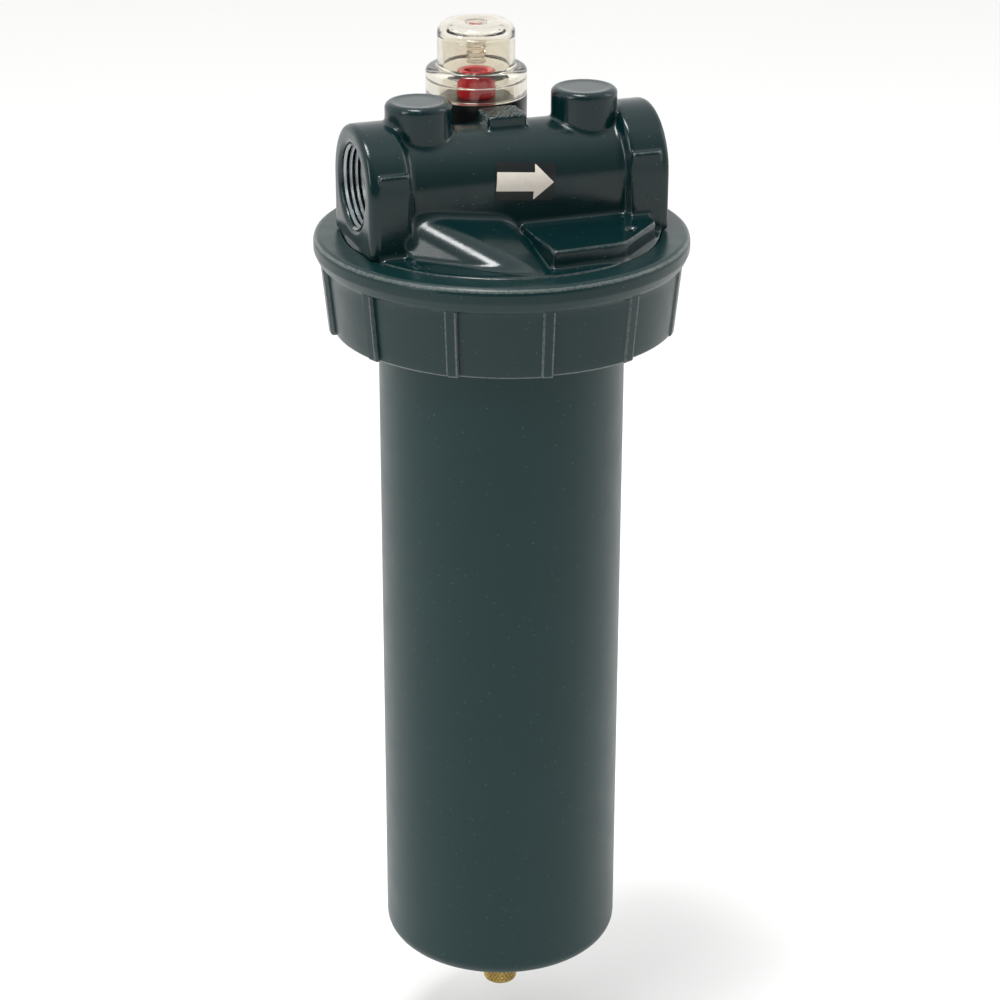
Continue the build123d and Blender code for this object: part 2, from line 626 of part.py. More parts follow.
with BuildPart() as indicator_cover:
    with BuildSketch(INDICATOR_SECTION):
        with BuildLine():
            Polyline(
                (0, POST_BOTTOM_Z),
                (POST_R, POST_BOTTOM_Z),
                (POST_R, COVER_ROOF_Z),
                (COVER_BORE_R, COVER_ROOF_Z),
                (COVER_BORE_R, COVER_STEP_Z),
                (COVER_STEP_R, COVER_STEP_Z),
                (COVER_STEP_R, BASE_TOP_Z),
                (INDICATOR_R, BASE_TOP_Z),
                (INDICATOR_R, COVER_FLANGE_TOP_Z - COVER_FLANGE_ROUND),
            )
            RadiusArc(
                (INDICATOR_R, COVER_FLANGE_TOP_Z - COVER_FLANGE_ROUND),
                (INDICATOR_R - COVER_FLANGE_ROUND, COVER_FLANGE_TOP_Z),
                -COVER_FLANGE_ROUND,
            )
            Polyline(
                (INDICATOR_R - COVER_FLANGE_ROUND, COVER_FLANGE_TOP_Z),
                (COVER_DOME_R, COVER_FLANGE_TOP_Z),
                (COVER_DOME_R, COVER_CROWN_Z - COVER_SHOULDER_R),
            )
            RadiusArc(
                (COVER_DOME_R, COVER_CROWN_Z - COVER_SHOULDER_R),
                (COVER_DOME_R - COVER_SHOULDER_R, COVER_CROWN_Z),
                -COVER_SHOULDER_R,
            )
            Polyline(
                (COVER_DOME_R - COVER_SHOULDER_R, COVER_CROWN_Z),
                (0, COVER_TOP_Z),
                (0, POST_BOTTOM_Z),
            )
        make_face()
    revolve(axis=INDICATOR_AXIS)
save(indicator_cover.part, "indicator_cover")

# --- Manual drain ---------------------------------------------------------------------------
with BuildPart() as drain_body:
    revolve(
        section(
            (DRAIN_BORE_R, BOWL_BOTTOM_Z + BOWL_FLOOR + DRAIN_NUT_HEIGHT),
            (DRAIN_HOLE_R, BOWL_BOTTOM_Z + BOWL_FLOOR + DRAIN_NUT_HEIGHT),
            (DRAIN_HOLE_R, DRAIN_HEX_TOP_Z),
            (DRAIN_NECK_R, DRAIN_HEX_TOP_Z),
            (DRAIN_NECK_R, DRAIN_NECK_BOTTOM_Z),
            (DRAIN_CHAMBER_R, DRAIN_NECK_BOTTOM_Z),
            (DRAIN_CHAMBER_R, DRAIN_SEAT_Z),
            (DRAIN_BORE_R, DRAIN_SEAT_Z + DRAIN_CONE),
        ),
        axis=Axis.Z,
    )
    with BuildSketch(Plane.XY.offset(DRAIN_HEX_BOTTOM_Z)):
        RegularPolygon(DRAIN_HEX_AF / 2, 6, major_radius=False)
        Circle(DRAIN_NECK_R - DRAIN_NECK_OVERLAP, mode=Mode.SUBTRACT)
    extrude(amount=DRAIN_HEX_TOP_Z - DRAIN_HEX_BOTTOM_Z)
save(drain_body.part, "drain_body")

with BuildPart() as drain_washer:
    revolve(tube(DRAIN_HOLE_R, DRAIN_HEX_AF / 2, DRAIN_HEX_TOP_Z, BOWL_BOTTOM_Z), axis=Axis.Z)
save(drain_washer.part, "drain_washer")

with BuildPart() as drain_nut:
    with BuildSketch(Plane.XY.offset(BOWL_BOTTOM_Z + BOWL_FLOOR)):
        RegularPolygon(DRAIN_NUT_AF / 2, 6, major_radius=False)
        Circle(DRAIN_HOLE_R, mode=Mode.SUBTRACT)
    extrude(amount=DRAIN_NUT_HEIGHT)
save(drain_nut.part, "drain_nut")

with BuildPart() as drain_stem:
    revolve(
        section(
            (0, STEM_BOTTOM_Z),
            (STEM_R, STEM_BOTTOM_Z),
            (STEM_R, DRAIN_SEAT_Z - STEM_TIP_DROP),
            (STEM_TIP_R, DRAIN_SEAT_Z + STEM_TIP_RISE),
            (0, DRAIN_SEAT_Z + STEM_TIP_RISE),
        ),
        axis=Axis.Z,
    )
save(drain_stem.part, "drain_stem")

with BuildPart() as drain_knob:
    revolve(
        section(
            (KNOB_OUTLET_R, KNOB_BOTTOM_Z),
            (KNOB_R - KNOB_CHAMFER, KNOB_BOTTOM_Z),
            (KNOB_R, KNOB_BOTTOM_Z + KNOB_CHAMFER),
            (KNOB_R, KNOB_TOP_Z - KNOB_CHAMFER),
            (KNOB_R - KNOB_CHAMFER, KNOB_TOP_Z),
            (KNOB_BORE_R, KNOB_TOP_Z),
            (KNOB_BORE_R, KNOB_SHOULDER_Z),
            (DRAIN_CHAMBER_R, KNOB_SHOULDER_Z),
            (DRAIN_CHAMBER_R, STEM_BOTTOM_Z),
            (KNOB_OUTLET_R, STEM_BOTTOM_Z),
        ),
        axis=Axis.Z,
    )
save(drain_knob.part, "drain_knob")
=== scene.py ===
"""Looks of a compressed air filter: cast head, screwed clamp ring, long bowl, indicator and drain.

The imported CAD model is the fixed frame. Each sub-assembly below is a class that holds its sizes in
millimetres, builds its own meshes, dresses them and hands them to the body that they move with.
"""

import logging
import math
from collections.abc import Callable, Iterator, Sequence
from contextlib import contextmanager
from dataclasses import dataclass
from enum import Enum

import bmesh
import bpy
import numpy as np
from mathutils import Matrix, Vector


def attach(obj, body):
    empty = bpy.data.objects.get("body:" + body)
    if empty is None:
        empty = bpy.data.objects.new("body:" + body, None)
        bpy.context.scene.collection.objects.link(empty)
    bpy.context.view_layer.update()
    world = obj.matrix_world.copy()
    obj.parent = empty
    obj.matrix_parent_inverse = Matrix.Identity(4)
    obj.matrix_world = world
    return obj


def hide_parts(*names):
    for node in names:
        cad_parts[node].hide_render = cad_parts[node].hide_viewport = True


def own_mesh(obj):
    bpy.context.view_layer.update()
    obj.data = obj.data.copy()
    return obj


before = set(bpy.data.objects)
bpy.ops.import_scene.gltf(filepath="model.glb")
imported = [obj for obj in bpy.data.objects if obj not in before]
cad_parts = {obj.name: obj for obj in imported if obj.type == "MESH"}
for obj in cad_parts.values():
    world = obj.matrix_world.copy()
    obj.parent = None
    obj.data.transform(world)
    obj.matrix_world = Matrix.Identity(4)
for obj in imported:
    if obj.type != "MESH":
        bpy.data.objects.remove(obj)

LOG = logging.getLogger("air_filter")
MM = 0.001
SLOPE_45 = 0.7071
Array = np.ndarray
Profile = Sequence[tuple[float, float]]
Plane = tuple[tuple[float, float, float], tuple[float, float, float]]
Tree, Node, Socket = bpy.types.NodeTree, bpy.types.Node, bpy.types.NodeSocket
Object, Material, Mesh = bpy.types.Object, bpy.types.Material, bpy.types.Mesh


class Body(str, Enum):
    """Bodies that the pieces ride on."""

    HEAD = "head"
    FLAG = "indicator_flag"
    BOWL = "bowl"
    RING = "clamp_ring"
    KNOB = "drain_knob"


# --- Node and mesh helpers -------------------------------------------------------------------
def add_node(tree: Tree, kind: str, inputs: dict | None = None, **settings: object) -> Node:
    """Adds one node to a shader or geometry tree.

    Args:
        tree: The tree that gets the node.
        kind: Blender's name for the node type.
        inputs: Values or output sockets, by input name or index.
        settings: Properties set on the node before its inputs.

    Returns:
        The new node.
    """
    node = tree.nodes.new(kind)
    for name, value in settings.items():
        setattr(node, name, value)
    for key, value in (inputs or {}).items():
        socket = node.inputs[key]
        if isinstance(value, Socket):
            tree.links.new(value, socket)
        else:
            socket.default_value = value
    return node


def linear(hex_colour: str) -> tuple[float, float, float, float]:
    """Turns an sRGB hex value such as "1a2b3c" into linear RGBA.

    Args:
        hex_colour: Red, green and blue as six hex digits.

    Returns:
        The linear colour, with alpha 1.
    """
    channels = [int(hex_colour[start : start + 2], 16) / 255 for start in (0, 2, 4)]
    flat = [c / 12.92 if c <= 0.04045 else ((c + 0.055) / 1.055) ** 2.4 for c in channels]
    return (flat[0], flat[1], flat[2], 1.0)


def shade(mesh: Mesh, smooth: bool = True) -> None:
    """Sets smooth or flat shading on every face of a mesh."""
    mesh.polygons.foreach_set("use_smooth", [smooth] * len(mesh.polygons))


@contextmanager
def edited(mesh: Mesh) -> Iterator[bmesh.types.BMesh]:
    """Opens a mesh for editing and writes the result back at the end.

    Args:
        mesh: Mesh to edit.

    Returns:
        The open mesh, for use in a with statement.
    """
    work = bmesh.new()
    work.from_mesh(mesh)
    yield work
    work.to_mesh(mesh)
    work.free()


def make_mesh(name: str, points: Array, faces: Sequence[Sequence[int]], smooth: bool = True) -> Mesh:
    """Makes a mesh from points in millimetres.

    Args:
        name: Name of the mesh.
        points: Rows of x, y, z in millimetres.
        faces: Corner indices of each face, outward side anticlockwise.
        smooth: Whether the faces are shaded smooth.

    Returns:
        The mesh, in metres.
    """
    mesh = bpy.data.meshes.new(name)
    mesh.from_pydata((np.asarray(points, float) * MM).tolist(), [], [list(face) for face in faces])
    mesh.validate()
    shade(mesh, smooth)
    return mesh


def link(name: str, mesh: Mesh) -> Object:
    """Puts a mesh in the scene as an object at the origin.

    Args:
        name: Name of the object.
        mesh: Its mesh, in metres.

    Returns:
        The linked object.
    """
    piece = bpy.data.objects.new(name, mesh)
    bpy.context.scene.collection.objects.link(piece)
    return piece


def face_outward(piece: Object, merge_mm: float = 0.001) -> Object:
    """Merges doubles and turns every face of a closed piece outward.

    Args:
        piece: Piece to repair.
        merge_mm: Distance in millimetres within which points are merged.

    Returns:
        The same piece.
    """
    with edited(piece.data) as work:
        bmesh.ops.remove_doubles(work, verts=work.verts, dist=merge_mm * MM)
        bmesh.ops.recalc_face_normals(work, faces=work.faces)
    return piece


def round_profile(points: Profile, radii: Sequence[float], steps: int = 5) -> list[tuple[float, float]]:
    """Rounds the corners of a closed outline.

    Args:
        points: Corner points, in order.
        radii: Fillet radius of each corner; 0 keeps it sharp.
        steps: Segments in each fillet.

    Returns:
        The outline with each corner replaced by an arc.
    """
    out: list[tuple[float, float]] = []
    count = len(points)
    for index, radius in enumerate(radii):
        corner = np.array(points[index], float)
        before = np.array(points[index - 1], float) - corner
        after = np.array(points[(index + 1) % count], float) - corner
        length_before, length_after = np.linalg.norm(before), np.linalg.norm(after)
        before, after = before / length_before, after / length_after
        half = math.acos(float(np.clip(before @ after, -1, 1))) / 2
        if radius <= 0 or half > 1.55:
            out.append((float(corner[0]), float(corner[1])))
            continue
        reach = min(radius / math.tan(half), 0.49 * length_before, 0.49 * length_after)
        real = reach * math.tan(half)
        centre = corner + (before + after) / np.linalg.norm(before + after) * real / math.sin(half)
        first, last = corner + before * reach - centre, corner + after * reach - centre
        turn = math.atan2(first[0] * last[1] - first[1] * last[0], float(first @ last))
        for step in range(steps + 1):
            angle = turn * step / steps
            c, s = math.cos(angle), math.sin(angle)
            x, y = c * first[0] - s * first[1], s * first[0] + c * first[1]
            out.append((float(centre[0] + x), float(centre[1] + y)))
    return out


def lathe(name: str, outline: Profile, around: int, centre: tuple[float, float]) -> Object:
    """Revolves a closed (radius, height) outline about a vertical axis.

    Args:
        name: Name of the piece.
        outline: Radius and height of each point, in millimetres; radius 0 is a pole.
        around: Segments round the axis.
        centre: Plan position of the axis.

    Returns:
        The closed piece, faces outward.
    """
    angles = np.arange(around) * 2 * math.pi / around
    rows: list[Array] = []
    index: list[Array] = []
    total = 0
    for radius, height in outline:
        spots = 1 if radius < 1e-6 else around
        turn = angles[:spots]
        x, y = centre[0] + radius * np.cos(turn), centre[1] + radius * np.sin(turn)
        rows.append(np.stack([x, y, np.full(spots, height)], 1))
        index.append(np.full(around, total) if spots == 1 else total + np.arange(around))
        total += spots
    faces: list[list[int]] = []
    for row, low in enumerate(index):
        high = index[(row + 1) % len(index)]
        if low[0] == low[1] and high[0] == high[1]:
            continue
        for spot in range(around):
            ahead = (spot + 1) % around
            corners = (low[spot], low[ahead], high[ahead], high[spot])
            faces.append(list(dict.fromkeys(map(int, corners))))
    return face_outward(link(name, make_mesh(name, np.concatenate(rows), faces)))


def sharpen(piece: Object, degrees: float) -> Object:
    """Marks edges steeper than an angle as sharp, so smooth shading keeps them crisp.

    Args:
        piece: Piece to mark.
        degrees: Angle from which an edge stays sharp.

    Returns:
        The same piece.
    """
    with edited(piece.data) as work:
        for edge in work.edges:
            edge.smooth = edge.calc_face_angle(0.0) < math.radians(degrees)
    return piece


def hand_over(
    piece: Object, body: Body, material: Material, replaces: Sequence[str]
) -> Object:
    """Dresses a finished piece and ties it to the frame.

    Args:
        piece: The finished piece.
        body: Body that it rides on.
        material: Its finish.
        replaces: CAD nodes that it is shown in place of.

    Returns:
        The same piece.
    """
    if not piece.data.materials:
        piece.data.materials.append(material)
    piece.data.materials[0] = material
    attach(piece, body.value)
    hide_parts(*replaces)
    LOG.info("%s: %d faces, rides on %s", piece.name, len(piece.data.polygons), body.value)
    return piece


def ring_spots(
    name: str, radius: float, heights: Sequence[float], around: int, stagger: float = 0.0
) -> Mesh:
    """Makes loose points in level rings round the Z axis.

    Args:
        name: Name of the mesh.
        radius: Radius of every ring, in millimetres.
        heights: Height of each ring, in millimetres.
        around: Points in each ring.
        stagger: Share of the spacing by which every second ring is turned.

    Returns:
        The mesh of points.
    """
    spots = []
    for row, height in enumerate(heights):
        for spot in range(around):
            angle = 2 * math.pi * (spot + stagger * (row % 2)) / around
            spots.append((radius * math.cos(angle), radius * math.sin(angle), height))
    return make_mesh(name, np.array(spots), [])


# --- Finishes --------------------------------------------------------------------------------
def noise(tree: Tree, place: Socket, width: float, detail: float, roughness: float = 0.5) -> Socket:
    """Noise whose features are about a width in millimetres across.

    Args:
        tree: Shader tree that gets the nodes.
        place: Coordinates that the pattern reads.
        width: Width of the features, in millimetres.
        detail: Octaves of finer noise.
        roughness: Share of each finer octave.

    Returns:
        The noise, from 0 to 1.
    """
    inputs = {"Vector": place, "Scale": 1 / (width * MM), "Detail": detail, "Roughness": roughness}
    return add_node(tree, "ShaderNodeTexNoise", inputs).outputs["Fac"]


def spread(tree: Tree, value: Socket, start: tuple[float, float], end: tuple[float, float]) -> Socket:
    """Maps the range from start[0] to start[1] onto end[0] to end[1], held at both ends.

    Args:
        tree: Shader tree that gets the nodes.
        value: Value to map.
        start: Range that it comes from.
        end: Range that it goes to.

    Returns:
        The mapped value.
    """
    inputs = {
        "Value": value,
        "From Min": start[0],
        "From Max": start[1],
        "To Min": end[0],
        "To Max": end[1],
    }
    return add_node(tree, "ShaderNodeMapRange", inputs).outputs["Result"]


def blend(tree: Tree, factor: Socket, first: object, second: object) -> Socket:
    """Mixes two colours.

    Args:
        tree: Shader tree that gets the nodes.
        factor: Share of the second colour.
        first: First colour.
        second: Second colour.

    Returns:
        The mixed colour.
    """
    inputs = {"Factor": factor, "A": first, "B": second}
    return add_node(tree, "ShaderNodeMix", inputs, data_type="RGBA").outputs["Result"]


DUST = "b9b9ae"
SPECK_MM = 3.1
# Width of the noise that breaks up the paler edges, which are partly wear and partly painted highlight.
WEAR_GLINT_MM = 1.3


@dataclass(frozen=True)
class Finish:
    """A surface with fine relief, mottled colour and roughness, and paler edges: partly wear, partly
    painted highlight.

    Grain and mottle are the widths in millimetres of the relief and of the colour patches. The
    relief depth is in millimetres too. The paler edges, partly rubbed paint and partly painted
    highlight, are read from a point attribute of the piece.
    """

    name: str
    base: str
    patch: str
    roughness: tuple[float, float]
    grain: float
    depth: float
    mottle: float = 14.0
    metallic: float = 0.0
    ior: float = 1.5
    specular: float = 0.5
    wear_and_glint: str = ""
    wear_and_glint_amount: float = 0.0
    coat: float = 0.0
    coat_roughness: float = 0.2
    stretch: tuple[float, float, float] = (1.0, 1.0, 1.0)
    specks: float = 0.0
    transmission: float = 0.0

    def coordinates(self, tree: Tree) -> Socket:
        """Object coordinates, stretched for finishes with a direction such as turned metal.

        Args:
            tree: Shader tree that gets the nodes.

        Returns:
            The coordinates.
        """
        place = add_node(tree, "ShaderNodeTexCoord")
        inputs = {"Vector": place.outputs["Object"], "Scale": self.stretch}
        return add_node(tree, "ShaderNodeMapping", inputs).outputs["Vector"]

    def relief(self, tree: Tree, place: Socket) -> Socket:
        """Height in millimetres of the fine surface relief."""
        return noise(tree, place, self.grain, 4.0, 0.6)

    def colour(self, tree: Tree, place: Socket) -> Socket:
        """Base colour with soft patches, paler edges that are partly wear and partly painted highlight,
        and specks of dust.

        Args:
            tree: Shader tree that gets the nodes.
            place: Coordinates that the pattern reads.

        Returns:
            The colour.
        """
        cloud = noise(tree, place, self.mottle, 5.0, 0.55)
        colour = blend(tree, cloud, linear(self.base), linear(self.patch))
        # Paler edges: partly rubbed paint, partly a painted highlight that stands in for glints on the
        # edges.
        if self.wear_and_glint:
            edge = add_node(tree, "ShaderNodeAttribute", attribute_name="wear_and_glint").outputs["Fac"]
            broken = noise(tree, place, WEAR_GLINT_MM, 6.0, 0.7)
            rubbed_and_glint = add_node(tree, "ShaderNodeMath", {0: edge, 1: broken}, operation="MULTIPLY")
            mask = spread(tree, rubbed_and_glint.outputs["Value"], (0.28, 0.5), (0.0, self.wear_and_glint_amount))
            colour = blend(tree, mask, colour, linear(self.wear_and_glint))
        if self.specks > 0:
            inputs = {"Vector": place, "Scale": 1 / (SPECK_MM * MM)}
            dust = add_node(tree, "ShaderNodeTexVoronoi", inputs, feature="F1")
            dot = spread(tree, dust.outputs["Distance"], (0.03, 0.07), (self.specks, 0.0))
            colour = blend(tree, dot, colour, linear(DUST))
        return colour

    def build(self) -> Material:
        """Makes the material once; later calls give the same one.

        Returns:
            The material.
        """
        known = bpy.data.materials.get(self.name)
        if known:
            return known
        material = bpy.data.materials.new(self.name)
        material.use_nodes = True
        tree = material.node_tree
        tree.nodes.clear()
        place = self.coordinates(tree)
        relief = {"Height": self.relief(tree, place), "Strength": 1.0, "Distance": self.depth * MM}
        bump = add_node(tree, "ShaderNodeBump", relief)
        haze = noise(tree, place, 0.4 * self.mottle, 3.0)
        inputs = {
            "Base Color": self.colour(tree, place),
            "Roughness": spread(tree, haze, (0.3, 0.7), self.roughness),
            "Metallic": self.metallic,
            "IOR": self.ior,
            "Specular IOR Level": self.specular,
            "Normal": bump.outputs["Normal"],
            "Coat Weight": self.coat,
            "Coat Roughness": self.coat_roughness,
            "Transmission Weight": self.transmission,
        }
        shader = add_node(tree, "ShaderNodeBsdfPrincipled", inputs)
        add_node(tree, "ShaderNodeOutputMaterial", {"Surface": shader.outputs["BSDF"]})
        return material


@dataclass(frozen=True)
class PleatedFibre(Finish):
    """Wound glass-fibre media: fine cross-laid threads over a soft cream ground."""

    def relief(self, tree: Tree, place: Socket) -> Socket:
        """Bands of laid thread, one grain width apart.

        Args:
            tree: Shader tree that gets the nodes.
            place: Coordinates that the pattern reads.

        Returns:
            The height, from 0 to 1.
        """
        inputs = {
            "Vector": place,
            "Scale": 0.5 / (self.grain * MM),
            "Distortion": 2.5,
            "Detail": 3.0,
            "Detail Scale": 2.0,
        }
        return add_node(tree, "ShaderNodeTexWave", inputs, bands_direction="DIAGONAL").outputs["Fac"]


@dataclass(frozen=True)
class OpenFelt(Finish):
    """Open-cell drain sleeve: small dark pores in a pale needled felt."""

    def relief(self, tree: Tree, place: Socket) -> Socket:
        """Cells one grain width across.

        Args:
            tree: Shader tree that gets the nodes.
            place: Coordinates that the pattern reads.

        Returns:
            The height, from 0 to about 1.
        """
        inputs = {"Vector": place, "Scale": 1 / (self.grain * MM)}
        cells = add_node(tree, "ShaderNodeTexVoronoi", inputs, feature="DISTANCE_TO_EDGE")
        return cells.outputs["Distance"]


# Powder-coated die casting: a satin skin with faint orange peel about 1.7 mm across, so
# highlights are broad with slightly soft borders; proud edges are painted paler, partly as rubbed paint
# and partly as a painted highlight.
CAST_PAINT = Finish(
    "powder_coated_die_cast_aluminium", "021e20", "052426", (0.15, 0.22), 1.7, 0.03,
    mottle=22, wear_and_glint="8b9290", wear_and_glint_amount=0.35, specks=0.35, specular=0.4,
)
# Semi-matt paint on the die-cast ring: nearly the colour of the head with a flatter sheen.
# Its rim, foot and rib edges are painted paler, partly as rubbed paint and partly as a painted
# highlight.
RING_PAINT = Finish(
    "semi_matt_painted_die_cast_aluminium", "032425", "08292a", (0.27, 0.35), 0.9, 0.03,
    mottle=18, wear_and_glint="8b9290", wear_and_glint_amount=0.36, specks=0.3, specular=0.33,
)
# Matt powder coat on a drawn tube: an even fine tooth that spreads the lights into a soft sheen.
BOWL_PAINT = Finish(
    "matt_powder_coated_drawn_aluminium", "042829", "082e2f", (0.36, 0.40), 0.8, 0.022,
    mottle=30, specks=0.3, specular=0.28,
)
# Bare cut aluminium of the port threads: bright and streaked along the cut.
CUT_ALUMINIUM = Finish(
    "machined_aluminium", "a3a8aa", "6f7678", (0.22, 0.36), 0.4, 0.02,
    mottle=2.5, metallic=1.0, stretch=(6.0, 1.0, 1.0),
)
# Screen-printed polyester plate: near black, smooth, with an even satin sheen.
LABEL_BLACK = Finish(
    "screen_printed_polyester", "091011", "0e1617", (0.30, 0.36), 0.4, 0.004, mottle=6
)
# Cream ink of the arrow: a matt opaque print with faint unevenness.
ARROW_CREAM = Finish("cream_screen_ink", "ece4d9", "ddd4c8", (0.48, 0.58), 0.5, 0.006, mottle=3)
# Turned brass gone dull: warm brown-yellow with darker oxide in patches.
DULL_BRASS = Finish(
    "turned_dull_brass", "c9b06a", "937a42", (0.30, 0.46), 0.35, 0.012,
    mottle=2.2, metallic=1.0, stretch=(1.0, 1.0, 3.0),
)
# Zinc-plated steel: bright bluish grey with fine passivation clouding.
ZINC_PLATE = Finish(
    "zinc_plated_steel", "b4b8bc", "9297a0", (0.25, 0.40), 0.3, 0.004, mottle=5, metallic=1.0
)
# Deep-drawn tinplate of the element caps and core: smooth, with faint drawing lines.
TINPLATE = Finish(
    "drawn_tinplate", "bcbdb9", "9fa19d", (0.22, 0.34), 0.5, 0.004,
    mottle=9, metallic=1.0, stretch=(1.0, 1.0, 5.0),
)
# Stainless spring wire: drawn, dark and shiny.
SPRING_WIRE = Finish(
    "drawn_stainless_wire", "8e9093", "6d6f73", (0.18, 0.28), 0.2, 0.003, mottle=2, metallic=1.0
)
# Sintered ferrite magnet: grey-black and dull with a faint granular break.
FERRITE = Finish("sintered_ferrite", "2b2b2e", "38373a", (0.45, 0.6), 0.25, 0.02, mottle=1.5)
# Nitrile rubber: soft black with a moulded bloom.
NITRILE = Finish("moulded_nitrile_rubber", "121211", "1c1b1a", (0.50, 0.62), 0.3, 0.01, mottle=3)
# Black acetal of the indicator base: smooth moulding with tight satin highlights.
ACETAL_BLACK = Finish(
    "moulded_black_acetal", "0b0d0e", "131516", (0.28, 0.36), 0.5, 0.006, mottle=6
)
# White acetal piston and slip washer: waxy, slightly warm.
ACETAL_WHITE = Finish(
    "moulded_white_acetal", "dedbd2", "cfccc2", (0.32, 0.42), 0.4, 0.005, mottle=4
)
# Red polycarbonate flag: saturated and glossy, so it reads clearly through the cover.
FLAG_RED = Finish(
    "moulded_red_polycarbonate", "f0102a", "fb2a3c", (0.16, 0.24), 0.6, 0.006,
    mottle=5, coat=0.4, coat_roughness=0.1,
)
# Clear polyamide of the cover: faintly yellow and glassy with slight flow waviness.
CLEAR_POLYAMIDE = Finish(
    "clear_smoked_polyamide", "f0ece1", "eae4d5", (0.015, 0.04), 5.5, 0.05,
    mottle=20, ior=1.49, transmission=1.0,
)
# Glass-fibre media, thread spacing drawn at 1.4 mm, coarser than real so that it shows.
FIBRE_MEDIA = PleatedFibre(
    "wound_glass_fibre", "e9e2cf", "d7cdb4", (0.7, 0.85), 1.4, 0.18, mottle=6
)
# Needled polyester sleeve with cells about 1.1 mm across.
DRAIN_FELT = OpenFelt(
    "needled_polyester_felt", "c9cfd2", "aab2b6", (0.75, 0.9), 1.1, 0.3, mottle=4
)
# Matt paper of the studio floor: an even white with almost no sheen.
PAPER_WHITE = Finish(
    "matt_white_paper", "fbfbfa", "f8f8f7", (0.9, 0.95), 2.0, 0.001, mottle=400
)


def turned(
    name: str,
    corners: Profile,
    radii: Sequence[float],
    body: Body,
    finish: Finish,
    replaces: Sequence[str],
    around: int,
    steps: int = 5,
    centre: tuple[float, float] = (0.0, 0.0),
    crisp: float = 45.0,
) -> Object:
    """Turns a rounded outline about a vertical axis and hands the piece over.

    Args:
        name: Name of the piece.
        corners: Radius and height of each corner, in millimetres.
        radii: Fillet radius of each corner.
        body: Body that the piece rides on.
        finish: Its finish.
        replaces: CAD nodes that it is shown in place of.
        around: Segments round the axis.
        steps: Segments in each fillet.
        centre: Plan position of the axis.
        crisp: Angle in degrees from which an edge stays sharp.

    Returns:
        The finished piece.
    """
    piece = lathe(name, round_profile(corners, radii, steps), around, centre)
    return hand_over(sharpen(piece, crisp), body, finish.build(), replaces)


# --- Geometry node recipes -------------------------------------------------------------------
class Recipe:
    """A geometry node tree with named inputs, run once and kept as a plain mesh."""

    def __init__(self, name: str) -> None:
        """Starts an empty tree with a geometry input and output.

        Args:
            name: Name of the tree.
        """
        self.tree = bpy.data.node_groups.new(name, "GeometryNodeTree")
        self.tree.interface.new_socket("Geometry", in_out="INPUT", socket_type="NodeSocketGeometry")
        self.tree.interface.new_socket("Geometry", in_out="OUTPUT", socket_type="NodeSocketGeometry")
        self.start = add_node(self.tree, "NodeGroupInput")
        self.values: dict[str, object] = {}

    def size(self, name: str, value: float | int | tuple[float, float, float]) -> Socket:
        """Adds a named input and gives its socket.

        Args:
            name: Name shown on the tree.
            value: Value for this run, metres for lengths.

        Returns:
            The output socket of the group input node.
        """
        kinds = {int: "NodeSocketInt", tuple: "NodeSocketVector", float: "NodeSocketFloat"}
        item = self.tree.interface.new_socket(name, in_out="INPUT", socket_type=kinds[type(value)])
        self.values[item.identifier] = value
        return self.start.outputs[name]

    def add(self, kind: str, inputs: dict | None = None, **settings: object) -> Node:
        """Adds a node to the tree."""
        return add_node(self.tree, kind, inputs, **settings)

    def stand_out(self, instance: Socket) -> Socket:
        """Puts an instance on each point, its +Z outward from the Z axis and its +Y round it.

        Args:
            instance: Geometry that is put on each point.

        Returns:
            The instances.
        """
        place = self.add("GeometryNodeInputPosition")
        split = self.add("ShaderNodeSeparateXYZ", {"Vector": place.outputs["Position"]})
        sides = {0: split.outputs["Y"], 1: split.outputs["X"]}
        angle = self.add("ShaderNodeMath", sides, operation="ARCTAN2")
        turn = self.add("ShaderNodeCombineXYZ", {"Y": math.pi / 2, "Z": angle.outputs["Value"]})
        inputs = {
            "Points": self.start.outputs["Geometry"],
            "Instance": instance,
            "Rotation": turn.outputs["Vector"],
        }
        return self.add("GeometryNodeInstanceOnPoints", inputs).outputs["Instances"]

    def run(self, name: str, result: Socket, material: Material, seed: Mesh | None = None) -> Object:
        """Ends the tree, evaluates it and keeps the outcome.

        Args:
            name: Name of the piece.
            result: Geometry that the tree has made.
            material: Finish set by the tree's last node.
            seed: Mesh that the tree works on, if any.

        Returns:
            A plain mesh object at the origin.
        """
        real = self.add("GeometryNodeRealizeInstances", {"Geometry": result})
        inputs = {"Geometry": real.outputs["Geometry"], "Material": material}
        dressed = self.add("GeometryNodeSetMaterial", inputs)
        self.add("NodeGroupOutput", {"Geometry": dressed.outputs["Geometry"]})
        carrier = link(name, seed or bpy.data.meshes.new(name))
        modifier = carrier.modifiers.new("recipe", "NODES")
        modifier.node_group = self.tree
        for identifier, value in self.values.items():
            modifier[identifier] = value
        bpy.context.view_layer.update()
        graph = bpy.context.evaluated_depsgraph_get()
        made = carrier.evaluated_get(graph)
        mesh = bpy.data.meshes.new_from_object(made, preserve_all_data_layers=True, depsgraph=graph)
        carrier.modifiers.remove(modifier)
        carrier.data = mesh
        mesh.name = name
        return carrier


